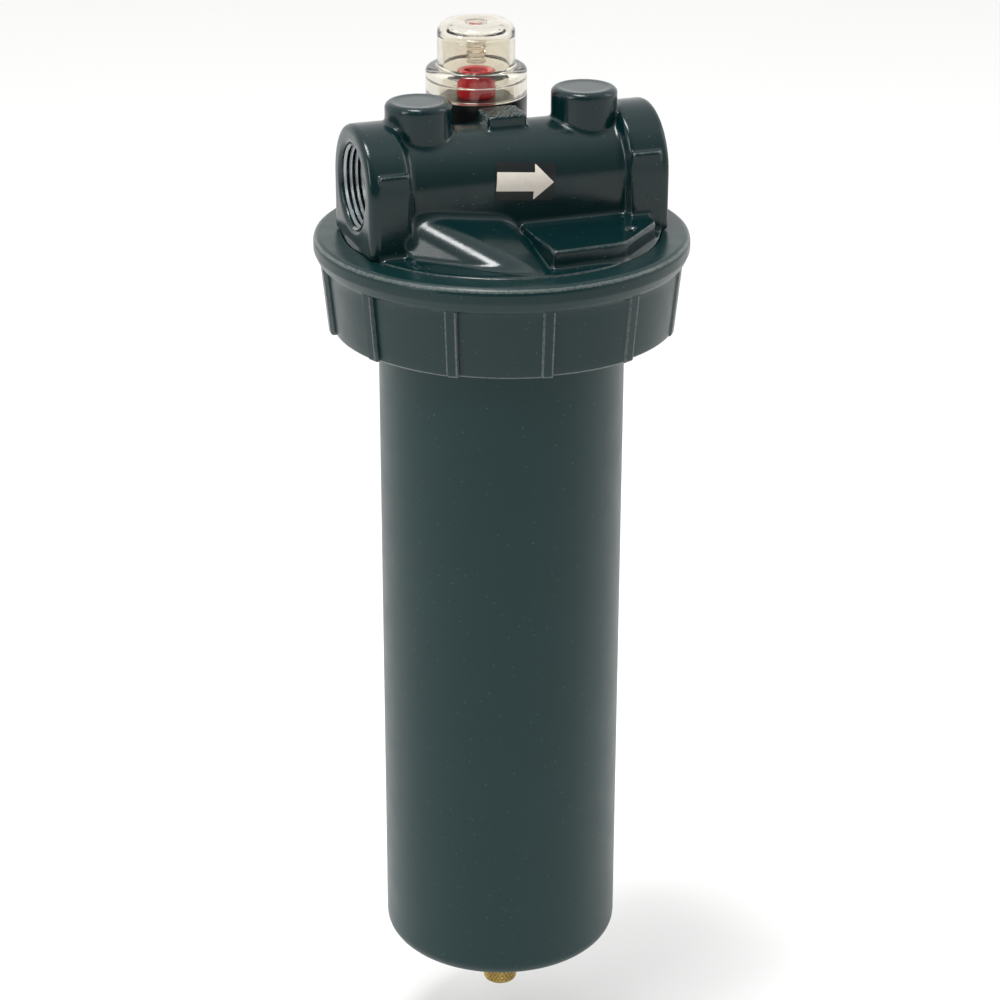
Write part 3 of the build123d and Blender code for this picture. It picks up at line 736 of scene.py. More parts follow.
@dataclass
class Helix:
    """A screw ridge: a square wire stood on its corner and wound at a pitch."""

    name: str
    radius: float
    pitch: float
    turns: float
    wire: float
    origin: tuple[float, float, float]
    turn: tuple[float, float, float] = (0.0, 0.0, 0.0)
    sides: int = 4
    around: int = 72
    taper: float = 0.0

    def make(self, material: Material) -> Object:
        """Builds the ridge with its ends closed.

        Args:
            material: Finish of the ridge.

        Returns:
            The plain mesh.
        """
        recipe = Recipe(self.name + "_tree")
        inputs = {
            "Resolution": self.around,
            "Rotations": recipe.size("Turns", self.turns),
            "Start Radius": recipe.size("Start radius", self.radius * MM),
            "End Radius": recipe.size("End radius", (self.radius + self.taper) * MM),
            "Height": recipe.size("Height", self.turns * self.pitch * MM),
        }
        spiral = recipe.add("GeometryNodeCurveSpiral", inputs).outputs["Curve"]
        upright = recipe.add("GeometryNodeSetCurveNormal", {"Curve": spiral}, mode="Z_UP")
        inputs = {"Resolution": self.sides, "Radius": recipe.size("Wire radius", self.wire * MM)}
        wire = recipe.add("GeometryNodeCurvePrimitiveCircle", inputs)
        inputs = {
            "Curve": upright.outputs["Curve"],
            "Profile Curve": wire.outputs["Curve"],
            "Fill Caps": True,
        }
        swept = recipe.add("GeometryNodeCurveToMesh", inputs)
        inputs = {
            "Geometry": swept.outputs["Mesh"],
            "Translation": recipe.size("Origin", tuple(MM * c for c in self.origin)),
            "Rotation": recipe.size("Turn", self.turn),
        }
        placed = recipe.add("GeometryNodeTransform", inputs)
        piece = face_outward(recipe.run(self.name, placed.outputs["Geometry"], material), 0.0001)
        shade(piece.data, self.sides > 4)
        return piece


# --- Head ------------------------------------------------------------------------------------
def soft_min(a: Array, b: Array, k: float) -> Array:
    """Joins two distance fields with a fillet about k wide."""
    h = np.maximum(k - np.abs(a - b), 0.0) / k
    return np.minimum(a, b) - h * h * k / 4


def soft_max(a: Array, b: Array, k: float) -> Array:
    """Cuts one distance field by another with a rounded edge about k wide."""
    return -soft_min(-a, -b, k)


def above(plane: Plane, x: Array, y: Array, z: Array) -> Array:
    """Distance above a plane, which is given by its normal and a point on it."""
    (a, b, c), (px, py, pz) = plane
    return a * (x - px) + b * (y - py) + c * (z - pz)


def paired(x: Array, y: Array) -> tuple[Array, Array]:
    """Turns the rear half onto the front one, for features in opposite pairs."""
    side = np.where(y < 0, 1.0, -1.0)
    return x * side, y * side


@dataclass
class CastHead:
    """The head casting with its ports, bosses, pad, humps and mounting platforms.

    The casting is a distance field: its parts are joined by soft_min and cut by soft_max, whose
    last value is the width of the fillet or rounded edge between the two.
    """

    face_x: float = 62.0
    block_inner_x: float = 45.0
    block_r: float = 24.6
    flat_top: float = 10.0
    flat_outer_x: float = 58.0
    block_bottom: float = -22.9
    barrel_r: float = 20.5
    barrel_overlap: float = 2.0
    boss_r: float = 13.2
    boss_x: float = 34.4
    boss_top: float = 32.0
    boss_bevel: float = 1.5
    boss_dish: tuple[float, float] = (10.6, 0.35)
    pad: tuple[float, float, float] = (8.0, 7.5, 25.0)
    indicator_y: float = 31.0
    indicator_r: float = 20.4
    seat_z: float = 16.0
    seat_gap: float = 0.3
    well: tuple[float, float] = (11.0, 1.0)
    crown: Profile = (
        (0.0, -16.9), (26.0, -17.2), (40.0, -18.3), (50.0, -19.8),
        (57.0, -21.3), (61.0, -22.4), (70.0, -25.4),
    )
    rim_r: float = 63.4
    rim_z: float = -22.9
    cut_z: float = -31.0
    hump_crest: Plane = ((0.130, -0.2625, 0.960), (-40.0, -22.0, -8.6))
    hump_flank: Plane = ((-0.547, -0.642, 0.537), (-40.0, -24.6, -11.0))
    hump_end: Plane = ((0.80, 0.0, 0.60), (-4.5, 0.0, -13.2))
    hump_far: float = -47.0
    hump_inset: float = 0.5
    platform_z: float = -15.5
    platform_x: tuple[float, float] = (0.5, 53.0)
    platform_front: Plane = ((0.049, -1.0, 0.0), (0.0, -57.0, 0.0))
    platform_corner: Plane = ((0.707, -0.707, 0.0), (52.0, -34.5, 0.0))
    platform_back: float = -12.0
    bore_r: float = 17.0
    bore_depth: float = 22.0
    bore_chamfer: float = 1.1
    passage_r: float = 13.0
    outlet_start: float = 21.0
    drop: tuple[float, float] = (33.0, 11.0)
    eye_r: float = 12.0
    hole_at: tuple[float, float] = (39.6, -39.6)
    hole_r: float = 2.1
    hole_sink: float = 1.4
    hole_depth: float = 9.0
    cell: float = 0.84

    def dome(self, x: Array, y: Array, z: Array) -> Array:
        """Shallow crowned lid with a rounded rim.

        Args:
            x: Positions along X, in millimetres.
            y: Positions along Y.
            z: Heights.

        Returns:
            Signed distance to it, in millimetres, below zero inside.
        """
        r = np.hypot(x, y)
        crown = np.interp(r, *zip(*self.crown))
        lid = soft_max((z - crown) * 0.95, r - self.rim_r, 1.3)
        return soft_max(lid, z - self.rim_z, 0.6)

    def barrel(self, x: Array, y: Array, z: Array) -> Array:
        """Round-topped barrel with upright sides.

        Args:
            x: Positions along X, in millimetres.
            y: Positions along Y.
            z: Heights.

        Returns:
            Signed distance to it, in millimetres, below zero inside.
        """
        arch = np.where(z > 0, np.hypot(y, z), np.abs(y)) - self.barrel_r
        return np.maximum(arch, np.abs(x) - self.block_inner_x - self.barrel_overlap)

    def block(self, x: Array, y: Array, z: Array) -> Array:
        """Port blocks, with wrench flats standing proud of the round.

        Args:
            x: Positions along X, in millimetres.
            y: Positions along Y.
            z: Heights.

        Returns:
            Signed distance to it, in millimetres, below zero inside.
        """
        ax, ay = np.abs(x), np.abs(y)
        round_top = np.where(z > 0, np.hypot(y, z), ay) - self.block_r
        body = soft_max(round_top, ax - self.face_x, 2.8)
        body = soft_max(body, self.block_inner_x - ax, 2.6)
        flat = np.maximum(ay - self.block_r, ax - self.flat_outer_x)
        flat = soft_max(flat, z - self.flat_top, 1.1)
        flat = np.maximum(flat, self.block_inner_x + 1.0 - ax)
        return soft_max(soft_min(body, flat, 0.9), self.block_bottom - z, 1.2)

    def humps(self, x: Array, y: Array, z: Array) -> Array:
        """Passage humps, front left and rear right, as softly joined slopes.

        Args:
            x: Positions along X, in millimetres.
            y: Positions along Y.
            z: Heights.

        Returns:
            Signed distance to it, in millimetres, below zero inside.
        """
        u, v = paired(x, y)
        hump = soft_max(above(self.hump_crest, u, v, z), above(self.hump_flank, u, v, z), 6.0)
        hump = soft_max(hump, above(self.hump_end, u, v, z), 4.0)
        hump = soft_max(hump, self.hump_far - u, 1.0)
        return soft_max(hump, np.hypot(x, y) - self.rim_r + self.hump_inset, 1.6)

    def platforms(self, x: Array, y: Array, z: Array) -> Array:
        """Flat mounting platforms, front right and rear left.

        Args:
            x: Positions along X, in millimetres.
            y: Positions along Y.
            z: Heights.

        Returns:
            Signed distance to it, in millimetres, below zero inside.
        """
        u, v = paired(x, y)
        near, far = self.platform_x
        outline = soft_max(near - u, above(self.platform_front, u, v, z), 3.0)
        outline = soft_max(outline, above(self.platform_corner, u, v, z), 4.0)
        outline = soft_max(outline, u - far, 3.0)
        outline = np.maximum(outline, v - self.platform_back)
        return soft_max(outline, z - self.platform_z, 1.4)

    def pad_top(self, x: Array, y: Array, z: Array) -> Array:
        """Small square pad on the barrel with a rough, broken top.

        Args:
            x: Positions along X, in millimetres.
            y: Positions along Y.
            z: Heights.

        Returns:
            Signed distance to it, in millimetres, below zero inside.
        """
        rough = 0.28 * np.sin(2.3 * x + 0.7) * np.sin(1.9 * y + 1.1) + 0.2 * np.sin(3.7 * x - 2.9 * y)
        walls = soft_max(np.abs(x) - self.pad[0], np.abs(y) - self.pad[1], 2.4)
        return soft_max(walls, z - self.pad[2] - rough, 1.2)

    def bosses(self, x: Array, y: Array, z: Array) -> Array:
        """Round plugs' bosses on the barrel with bevelled rims and slightly dished tops.

        Args:
            x: Positions along X, in millimetres.
            y: Positions along Y.
            z: Heights.

        Returns:
            Signed distance to it, in millimetres, below zero inside.
        """
        r = np.hypot(np.abs(x) - self.boss_x, y)
        wall, top = r - self.boss_r, z - self.boss_top
        bevel = SLOPE_45 * (wall + top + self.boss_bevel)
        dish_r, dish = self.boss_dish
        dished = top + dish * np.clip(1.0 - (r / dish_r) ** 8, 0.0, 1.0)
        return np.maximum(soft_max(soft_max(wall, bevel, 0.6), dished, 0.7), -z)

    def mounting_holes(self, x: Array, y: Array, z: Array) -> Array:
        """Countersunk blind holes in the platforms.

        Args:
            x: Positions along X, in millimetres.
            y: Positions along Y.
            z: Heights.

        Returns:
            Signed distance to it, in millimetres, below zero inside.
        """
        u, v = paired(x, y)
        wall = np.hypot(u - self.hole_at[0], v - self.hole_at[1]) - self.hole_r
        sink = SLOPE_45 * (wall - self.hole_sink + self.platform_z - z)
        sink = np.maximum(sink, z - self.platform_z - 1.0)
        return np.maximum(np.minimum(wall, sink), self.platform_z - self.hole_depth - z)

    def field(self, x: Array, y: Array, z: Array) -> Array:
        """Signed distance to the casting, in millimetres, below zero inside.

        Args:
            x: Positions along X, in millimetres.
            y: Positions along Y.
            z: Heights.

        Returns:
            The distance.
        """
        body = soft_min(self.barrel(x, y, z), self.block(x, y, z), 3.4)
        column = np.hypot(x, y - self.indicator_y)
        body = soft_min(body, np.maximum(column - self.indicator_r, z - self.seat_z), 4.0)
        body = soft_min(body, self.humps(x, y, z), 2.6)
        lid = soft_min(self.dome(x, y, z), self.platforms(x, y, z), 1.6)
        body = soft_min(body, lid, 2.0)
        body = soft_min(body, self.bosses(x, y, z), 1.3)
        body = soft_min(body, self.pad_top(x, y, z), 1.8)
        spot = np.maximum(column - self.indicator_r - self.seat_gap, self.seat_z - z)
        body = soft_max(body, -spot, 0.4)
        body = np.maximum(body, -np.maximum(column - self.well[0], self.well[1] - z))
        ax, bore = np.abs(x), np.hypot(y, z)
        chamfer = SLOPE_45 * (bore - self.bore_r - self.bore_chamfer + self.face_x - ax)
        mouth = np.minimum(bore - self.bore_r, chamfer)
        body = soft_max(body, -np.maximum(mouth, self.face_x - self.bore_depth - ax), 0.7)
        inlet = np.maximum(bore - self.passage_r, np.maximum(x, -self.face_x - x))
        outlet = np.maximum(bore - self.passage_r, self.outlet_start - x)
        drop = np.maximum(np.hypot(x - self.drop[0], y) - self.drop[1], z)
        eye = np.maximum(np.hypot(x, y) - self.eye_r, z)
        for passage in (inlet, outlet, drop, eye):
            body = np.maximum(body, -passage)
        body = soft_max(body, -self.mounting_holes(x, y, z), 0.5)
        return np.maximum(body, self.cut_z - z)

    def gradient(self, p: Array, step: float = 0.05) -> Array:
        """Slope of the field at each row of points.

        Args:
            p: Rows of x, y, z in millimetres.
            step: Half the span of each difference.

        Returns:
            Rows of slopes along x, y and z.
        """
        out = np.empty_like(p)
        for axis in range(3):
            shift = np.zeros(3)
            shift[axis] = step
            out[:, axis] = (self.field(*(p + shift).T) - self.field(*(p - shift).T)) / (2 * step)
        return out

    def surface(self) -> tuple[Array, Array]:
        """Meshes the field by joining one point in each cell that it crosses.

        Returns:
            Points in millimetres, and quads with their outward side anticlockwise.
        """
        low = np.array([-64.0, -68.5, self.cut_z - 1.37])
        counts = np.ceil((np.array([64.0, 68.5, 34.0]) - low) / self.cell).astype(int)
        axes = [low[a] + self.cell * np.arange(counts[a]) for a in range(3)]
        grid = np.meshgrid(*axes, indexing="ij", sparse=True)
        values = self.field(*np.broadcast_arrays(*grid)).astype(np.float32)
        inside = values < 0
        cells = np.array(values.shape) - 1
        total = np.zeros(tuple(cells) + (3,), np.float32)
        hits = np.zeros(tuple(cells), np.float32)
        crossings = []
        for axis in range(3):
            span = [slice(None)] * 3
            span[axis] = slice(0, -1)
            ahead = [slice(None)] * 3
            ahead[axis] = slice(1, None)
            a, b = values[tuple(span)], values[tuple(ahead)]
            spots = np.argwhere(inside[tuple(span)] != inside[tuple(ahead)])
            va, vb = a[tuple(spots.T)], b[tuple(spots.T)]
            where = spots.astype(np.float32)
            where[:, axis] += va / (va - vb)
            others = [other for other in range(3) if other != axis]
            crossings.append((axis, others, spots, va < 0))
            for da in (0, -1):
                for db in (0, -1):
                    cell = spots.copy()
                    cell[:, others[0]] += da
                    cell[:, others[1]] += db
                    good = np.all((cell >= 0) & (cell < cells), axis=1)
                    key = tuple(cell[good].T)
                    np.add.at(total, key, where[good])
                    np.add.at(hits, key, 1)
        used = np.argwhere(hits > 0)
        number = np.full(tuple(cells), -1, np.int64)
        number[tuple(used.T)] = np.arange(len(used))
        points = total[tuple(used.T)] / hits[tuple(used.T)][:, None] * self.cell + low
        quads = []
        for axis, others, spots, falling in crossings:
            ring = []
            for da, db in ((0, 0), (-1, 0), (-1, -1), (0, -1)):
                cell = spots.copy()
                cell[:, others[0]] += da
                cell[:, others[1]] += db
                good = np.all((cell >= 0) & (cell < cells), axis=1)
                cell[~good] = 0
                ring.append(np.where(good, number[tuple(cell.T)], -1))
            quad = np.stack(ring, 1)
            flip = falling if axis != 1 else ~falling
            quad[~flip] = quad[~flip][:, ::-1]
            quads.append(quad[np.all(quad >= 0, axis=1)])
        return self.settle(points.astype(float)), np.concatenate(quads)

    def settle(self, points: Array) -> Array:
        """Slides the points onto the surface, each by less than a cell.

        Args:
            points: Rows of x, y, z in millimetres.

        Returns:
            The moved points.
        """
        start = points.copy()
        for _ in range(4):
            slope = self.gradient(points)
            size = np.maximum((slope**2).sum(1), 0.2)
            points = points - 0.8 * (self.field(*points.T) / size)[:, None] * slope
            drift = points - start
            far = np.linalg.norm(drift, axis=1, keepdims=True)
            points = start + drift * np.minimum(1.0, 0.75 * self.cell / np.maximum(far, 1e-9))
        return points

    def edge_wear_and_glint(self, points: Array, reach: float = 1.1) -> Array:
        """How proud each point stands of its surroundings, 0 to 1.

        Args:
            points: Rows of x, y, z in millimetres.
            reach: Distance in millimetres at which the surroundings are read.

        Returns:
            A value for each point.
        """
        # Proud points get paler paint, partly as wear and partly as a painted highlight.
        normal = self.gradient(points)
        normal /= np.maximum(np.linalg.norm(normal, axis=1, keepdims=True), 1e-9)
        helper = np.where(np.abs(normal[:, 2:3]) < 0.8, [[0.0, 0.0, 1.0]], [[1.0, 0.0, 0.0]])
        along = np.cross(normal, helper)
        along /= np.linalg.norm(along, axis=1, keepdims=True)
        across = np.cross(normal, along)
        total = np.zeros(len(points))
        for direction in (along, -along, across, -across):
            total += self.field(*(points + reach * direction).T)
        return np.clip(total / (4 * reach) * 4.0, 0.0, 1.0)

    def port_thread(self, name: str, side: int) -> None:
        """Builds the screw ridge in one port.

        Args:
            name: Name of the piece.
            side: -1 for the inlet on the left, 1 for the outlet on the right.
        """
        cut = CUT_ALUMINIUM.build()
        ridge = Helix(
            name,
            radius=16.75,
            pitch=2.3,
            turns=8.4,
            wire=0.85,
            origin=(side * (self.face_x - 0.9), 0.0, 0.0),
            turn=(0.0, -side * math.pi / 2, 0.0),
            taper=-0.6,
        )
        hand_over(ridge.make(cut), Body.HEAD, cut, ["head_casting"])

    def build(self) -> None:
        """Builds the casting and its port threads."""
        points, quads = self.surface()
        casting = link("cast_head", make_mesh("cast_head", points, quads.tolist()))
        # Paler edges on the casting: partly rubbed paint, partly painted highlight.
        wear_and_glint = casting.data.attributes.new("wear_and_glint", "FLOAT", "POINT")
        wear_and_glint.data.foreach_set("value", self.edge_wear_and_glint(points).astype(np.float32))
        hand_over(casting, Body.HEAD, CAST_PAINT.build(), ["head_casting"])
        self.port_thread("inlet_port_thread", -1)
        self.port_thread("outlet_port_thread", 1)


@dataclass
class HeadSkirt:
    """Threaded skirt and element spigot under the casting, hidden by the ring when closed."""

    crest_r: float = 63.4
    root_r: float = 61.9
    top: float = -24.4
    bottom: float = -52.0
    cavity_r: float = 54.0
    ridge: float = 1.7
    pitch: float = 4.0
    turns: float = 5.5
    spigot_r: tuple[float, float] = (12.0, 17.0)
    spigot_z: tuple[float, float] = (-46.0, -30.5)
    edge_radii: tuple[float, ...] = (0.0, 0.8, 1.0, 0.0)

    def pipe(self, name: str, inner: float, outer: float, low: float, high: float, around: int) -> None:
        """Builds a plain pipe with a rounded lower end.

        Args:
            name: Name of the piece.
            inner: Bore radius.
            outer: Outer radius.
            low: Height of the lower end.
            high: Height of the upper end.
            around: Segments round the axis.
        """
        corners = [(inner, high), (inner, low), (outer, low), (outer, high)]
        turned(
            name, corners, self.edge_radii, Body.HEAD, CAST_PAINT, ["head_casting"],
            around=around, crisp=38,
        )

    def build(self) -> None:
        """Builds the skirt wall, the spigot and the skirt's screw ridge."""
        self.pipe("head_skirt", self.cavity_r, self.root_r, self.bottom, self.top, 256)
        self.pipe("element_spigot", *self.spigot_r, *self.spigot_z, 96)
        paint = CAST_PAINT.build()
        ridge = Helix(
            "head_outer_thread",
            radius=self.crest_r - self.ridge,
            pitch=self.pitch,
            turns=self.turns,
            wire=self.ridge,
            origin=(0.0, 0.0, self.bottom + 2.6),
            around=128,
        )
        hand_over(ridge.make(paint), Body.HEAD, paint, ["head_casting"])


@dataclass
class FlowPlate:
    """Black plate with a cream flow arrow, wrapped on the front of the barrel."""

    centre: tuple[float, float] = (2.6, 1.6)
    tilt: float = -5.5
    size: tuple[float, float] = (24.6, 14.8)
    corner: float = 2.0
    barrel_r: float = 20.5
    plate_lift: tuple[float, float] = (-0.05, 0.3)
    arrow_lift: tuple[float, float] = (0.25, 0.42)
    arrow_x: tuple[float, float, float] = (-12.0, 3.6, 11.6)
    shaft: float = 3.7
    barb: float = 7.1
    mesh_size: float = 1.0

    def wrapped(self, name: str, outline: Profile, lifts: tuple[float, float]) -> Object:
        """Makes a thin sheet that follows the barrel.

        Args:
            name: Name of the piece.
            outline: Corners seen from the front, in the plate's own axes.
            lifts: Inner and outer height above the barrel.

        Returns:
            The closed sheet.
        """
        work = bmesh.new()
        face = work.faces.new([work.verts.new((u, v, 0.0)) for u, v in outline])
        bmesh.ops.triangulate(work, faces=[face])
        for _ in range(4):
            long = [edge for edge in work.edges if edge.calc_length() > self.mesh_size]
            bmesh.ops.subdivide_edges(work, edges=long, cuts=1)
            bmesh.ops.triangulate(work, faces=list(work.faces))
        work.verts.index_update()
        points = [self.on_barrel(vert.co.x, vert.co.y, lift) for lift in lifts for vert in work.verts]
        skin = [[vert.index for vert in face.verts] for face in work.faces]
        rim = [[vert.index for vert in edge.verts] for edge in work.edges if edge.is_boundary]
        work.free()
        n = len(points) // 2
        faces = skin + [[n + corner for corner in reversed(face)] for face in skin]
        faces += [[start, end, n + end, n + start] for start, end in rim]
        piece = face_outward(link(name, make_mesh(name, np.array(points), faces)))
        return sharpen(piece, 40)

    def on_barrel(self, u: float, v: float, lift: float) -> tuple[float, float, float]:
        """Wraps a point of the plate on the barrel.

        Args:
            u: Place along the plate, in millimetres.
            v: Place up the plate.
            lift: Height above the barrel.

        Returns:
            The point's x, y and z, in millimetres.
        """
        c, s = math.cos(math.radians(self.tilt)), math.sin(math.radians(self.tilt))
        x, z = self.centre[0] + c * u - s * v, self.centre[1] + s * u + c * v
        radius = self.barrel_r + lift
        y = -math.sqrt(max(radius**2 - z**2, 0.0)) if z > 0 else -radius
        return (x, y, z)

    def build(self) -> None:
        """Builds the plate and its arrow."""
        w, h = self.size[0] / 2, self.size[1] / 2
        corners = round_profile([(-w, -h), (w, -h), (w, h), (-w, h)], [self.corner] * 4, 6)
        plate = self.wrapped("flow_plate", corners, self.plate_lift)
        hand_over(plate, Body.HEAD, LABEL_BLACK.build(), ["flow_label"])
        tail, neck, tip = self.arrow_x
        lower = [(tail, -self.shaft), (neck, -self.shaft), (neck, -self.barb), (tip, 0.0)]
        upper = [(neck, self.barb), (neck, self.shaft), (tail, self.shaft)]
        shape = round_profile(lower + upper, [0.2] * 7, 2)
        ink = self.wrapped("flow_arrow_print", shape, self.arrow_lift)
        hand_over(ink, Body.HEAD, ARROW_CREAM.build(), ["flow_arrow"])


# --- Clamp ring ------------------------------------------------------------------------------
@dataclass
class ClampRing:
    """Screwed ring: twelve ribs, each with a panel that starts deep and ramps up to the next rib."""

    ribs: int = 12
    clocking: float = -5.0
    half_rib: float = 1.7
    side_wall: float = 0.3
    rim_r: float = 75.2
    rim_depth: tuple[float, float] = (2.8, 6.3)
    shoulder: tuple[float, float] = (74.7, 1.1)
    cap_r: float = 73.0
    neck: tuple[float, float] = (73.9, 0.9)
    top: float = -23.3
    bottom: float = -61.5
    bore_r: float = 63.7
    lip_r: float = 50.7
    lip_top: float = -58.0
    seam_r: float = 66.0
    rib_r: float = 73.35
    rib_taper: float = 2.8
    foot_r: float = 70.65
    foot_round: float = 1.2
    deep: float = 1.9
    shallow: float = 0.7
    panel_top: float = -33.4
    panel_steps: tuple[tuple[float, float], ...] = (
        (0.25, 0.1), (0.5, 0.35), (0.75, 0.7), (1.05, 0.93), (1.4, 1.0)
    )

    def section(self) -> tuple[list[tuple[float, float]], list[float]]:
        """Outline of the ring through a rib, and how much of the panel depth each point takes.

        Returns:
            Radius and height of each point, and a share from 0 to 1 for each.
        """
        corners = [
            (self.seam_r, self.bottom),
            (self.lip_r, self.bottom),
            (self.lip_r, self.lip_top),
            (self.bore_r, self.lip_top),
            (self.bore_r, self.top),
            (self.cap_r, self.top),
            (self.shoulder[0], self.top - self.shoulder[1]),
            (self.rim_r, self.top - self.rim_depth[0]),
            (self.rim_r, self.top - self.rim_depth[1]),
            (self.neck[0], self.panel_top + self.neck[1]),
            (self.rib_r, self.panel_top),
        ]
        points = round_profile(corners, [0, 0.8, 0.5, 0.4, 0.55, 1.6, 1.2, 1.6, 2.4, 0.8, 0], 4)
        shares = [0.0] * len(points)
        slope = self.rib_taper / (self.panel_top - self.bottom)
        for drop, share in self.panel_steps:
            points.append((self.rib_r - slope * drop, self.panel_top - drop))
            shares.append(share)
        start = self.panel_steps[-1][0]
        length = self.panel_top - self.bottom - self.foot_round - start
        for step in range(1, 9):
            drop = start + length * step / 8
            points.append((self.rib_r - slope * drop, self.panel_top - drop))
            shares.append(1.0)
        for angle in (25, 50, 70, 90):
            c, s = math.cos(math.radians(angle)), math.sin(math.radians(angle))
            radius = self.foot_r - self.foot_round + self.foot_round * c
            points.append((radius, self.bottom + self.foot_round - self.foot_round * s))
            shares.append(1.0)
        return points, shares

    def panel_depth(self, degrees: float) -> float:
        """Depth below the rib at an angle after the rib's middle, within one pitch.

        Args:
            degrees: The angle.

        Returns:
            The depth, in millimetres.
        """
        edge, far = self.half_rib, 360 / self.ribs - self.half_rib
        if degrees <= edge:
            return 0.0
        if degrees >= far:
            return self.shallow * min(max((far + self.side_wall - degrees) / self.side_wall, 0.0), 1.0)
        ramp = self.deep + (self.shallow - self.deep) * (degrees - edge) / (far - edge)
        return ramp * min((degrees - edge) / self.side_wall, 1.0)

    def sector(self) -> Mesh:
        """One rib and its panel, from the rib's middle to the next one's.

        Returns:
            The mesh, with its paler edges marked, partly wear and partly painted highlight.
        """
        pitch = 360 / self.ribs
        near = [0.0, 0.8, 1.35, 1.6, 1.7, 1.78, 1.86, 1.93, 2.0, 2.12, 2.4]
        far = [pitch - a for a in (2.3, 1.9, 1.76, 1.7, 1.63, 1.55, 1.45, 1.38, 1.2, 0.7, 0.0)]
        angles = near + list(np.linspace(3.2, pitch - 3.2, 22)) + far
        outline, shares = self.section()
        points = []
        for degrees in angles:
            a = math.radians(degrees + self.clocking)
            depth = self.panel_depth(degrees)
            for (radius, height), share in zip(outline, shares):
                r = radius - depth * share
                points.append((r * math.cos(a), r * math.sin(a), height))
        n = len(outline)
        faces = []
        for here in range(0, n * (len(angles) - 1), n):
            for row in range(n):
                ahead = (row + 1) % n
                faces.append([here + row, here + n + row, here + n + ahead, here + ahead])
        mesh = make_mesh("ring_sector", np.array(points), faces)
        mesh.attributes.new("wear_and_glint", "FLOAT", "POINT").data.foreach_set("value", self.wear_and_glint_edges(angles))
        return mesh

    def wear_and_glint_edges(self, angles: Sequence[float]) -> list[float]:
        """Marks the rim, the foot and the rib edges, which are painted paler: partly rubbed paint,
        partly painted highlight.

        Args:
            angles: Degrees after the rib's middle of each column of points.

        Returns:
            1 or 0 for each point of the sector, column by column.
        """
        outline, shares = self.section()
        pitch = 360 / self.ribs
        # Rim, foot and rib edges are painted paler: partly rubbed paint, partly painted highlight.
        rim = [(r > 73.6 and z > -25.6) or z < self.bottom + 0.9 for r, z in outline]
        values = []
        for degrees in angles:
            on_rib = 1.25 < degrees < 1.95 or pitch - 1.95 < degrees < pitch - 1.25
            values += [float(edge or (on_rib and share > 0.5)) for edge, share in zip(rim, shares)]
        return values

    def build(self) -> None:
        """Repeats the sector round the ring and joins it."""
        finish = RING_PAINT.build()
        recipe = Recipe("ring_of_ribs")
        count = recipe.size("Ribs", self.ribs)
        line = {"Count": count, "Offset": (0.0, 0.0, 0.0)}
        spots = recipe.add("GeometryNodeMeshLine", line, mode="OFFSET")
        index = recipe.add("GeometryNodeInputIndex").outputs["Index"]
        pitch = recipe.add("ShaderNodeMath", {0: 2 * math.pi, 1: count}, operation="DIVIDE")
        product = {0: index, 1: pitch.outputs["Value"]}
        angle = recipe.add("ShaderNodeMath", product, operation="MULTIPLY")
        turn = recipe.add("ShaderNodeCombineXYZ", {"Z": angle.outputs["Value"]})
        inputs = {
            "Points": spots.outputs["Mesh"],
            "Instance": recipe.start.outputs["Geometry"],
            "Rotation": turn.outputs["Vector"],
        }
        placed = recipe.add("GeometryNodeInstanceOnPoints", inputs)
        solid = recipe.add("GeometryNodeRealizeInstances", {"Geometry": placed.outputs["Instances"]})
        inputs = {"Geometry": solid.outputs["Geometry"], "Distance": recipe.size("Merge", 2e-6)}
        joined = recipe.add("GeometryNodeMergeByDistance", inputs).outputs["Geometry"]
        ring = face_outward(recipe.run("ribbed_clamp_ring", joined, finish, self.sector()))
        shade(ring.data)
        hand_over(sharpen(ring, 52), Body.RING, finish, ["clamp_ring"])


# --- Bowl ------------------------------------------------------------------------------------
@dataclass
class LongBowl:
    """Drawn bowl with a rounded foot, neck groove and flange."""

    outer_r: float = 49.8
    wall: float = 3.2
    bottom: float = -342.6
    floor: float = 5.0
    corner: float = 7.0
    inner_corner: float = 5.0
    flange_r: float = 62.0
    flange_z: tuple[float, float] = (-57.0, -52.0)
    neck_r: float = 53.6
    neck_top: float = -40.0
    groove: tuple[float, float, float] = (50.6, -47.4, -43.8)
    drain_hole: float = 7.0

    def build(self) -> None:
        """Builds the bowl with its flange."""
        inner = self.outer_r - self.wall
        low, high = self.flange_z
        groove_r, groove_low, groove_high = self.groove
        corners = [
            (self.drain_hole, self.bottom),
            (self.outer_r, self.bottom),
            (self.outer_r, low),
            (self.flange_r, low),
            (self.flange_r, high),
            (self.neck_r, high),
            (self.neck_r, groove_low),
            (groove_r, groove_low),
            (groove_r, groove_high),
            (self.neck_r, groove_high),
            (self.neck_r, self.neck_top),
            (inner, self.neck_top),
            (inner, self.bottom + self.floor),
            (self.drain_hole, self.bottom + self.floor),
        ]
        radii = [0.4, self.corner, 0.8, 0.5, 0.5, 0.3] + [0.2] * 4 + [0.9, 0.7, self.inner_corner, 0.3]
        turned(
            "long_bowl", corners, radii, Body.BOWL, BOWL_PAINT, ["bowl", "bowl_flange"],
            around=256, steps=7,
        )


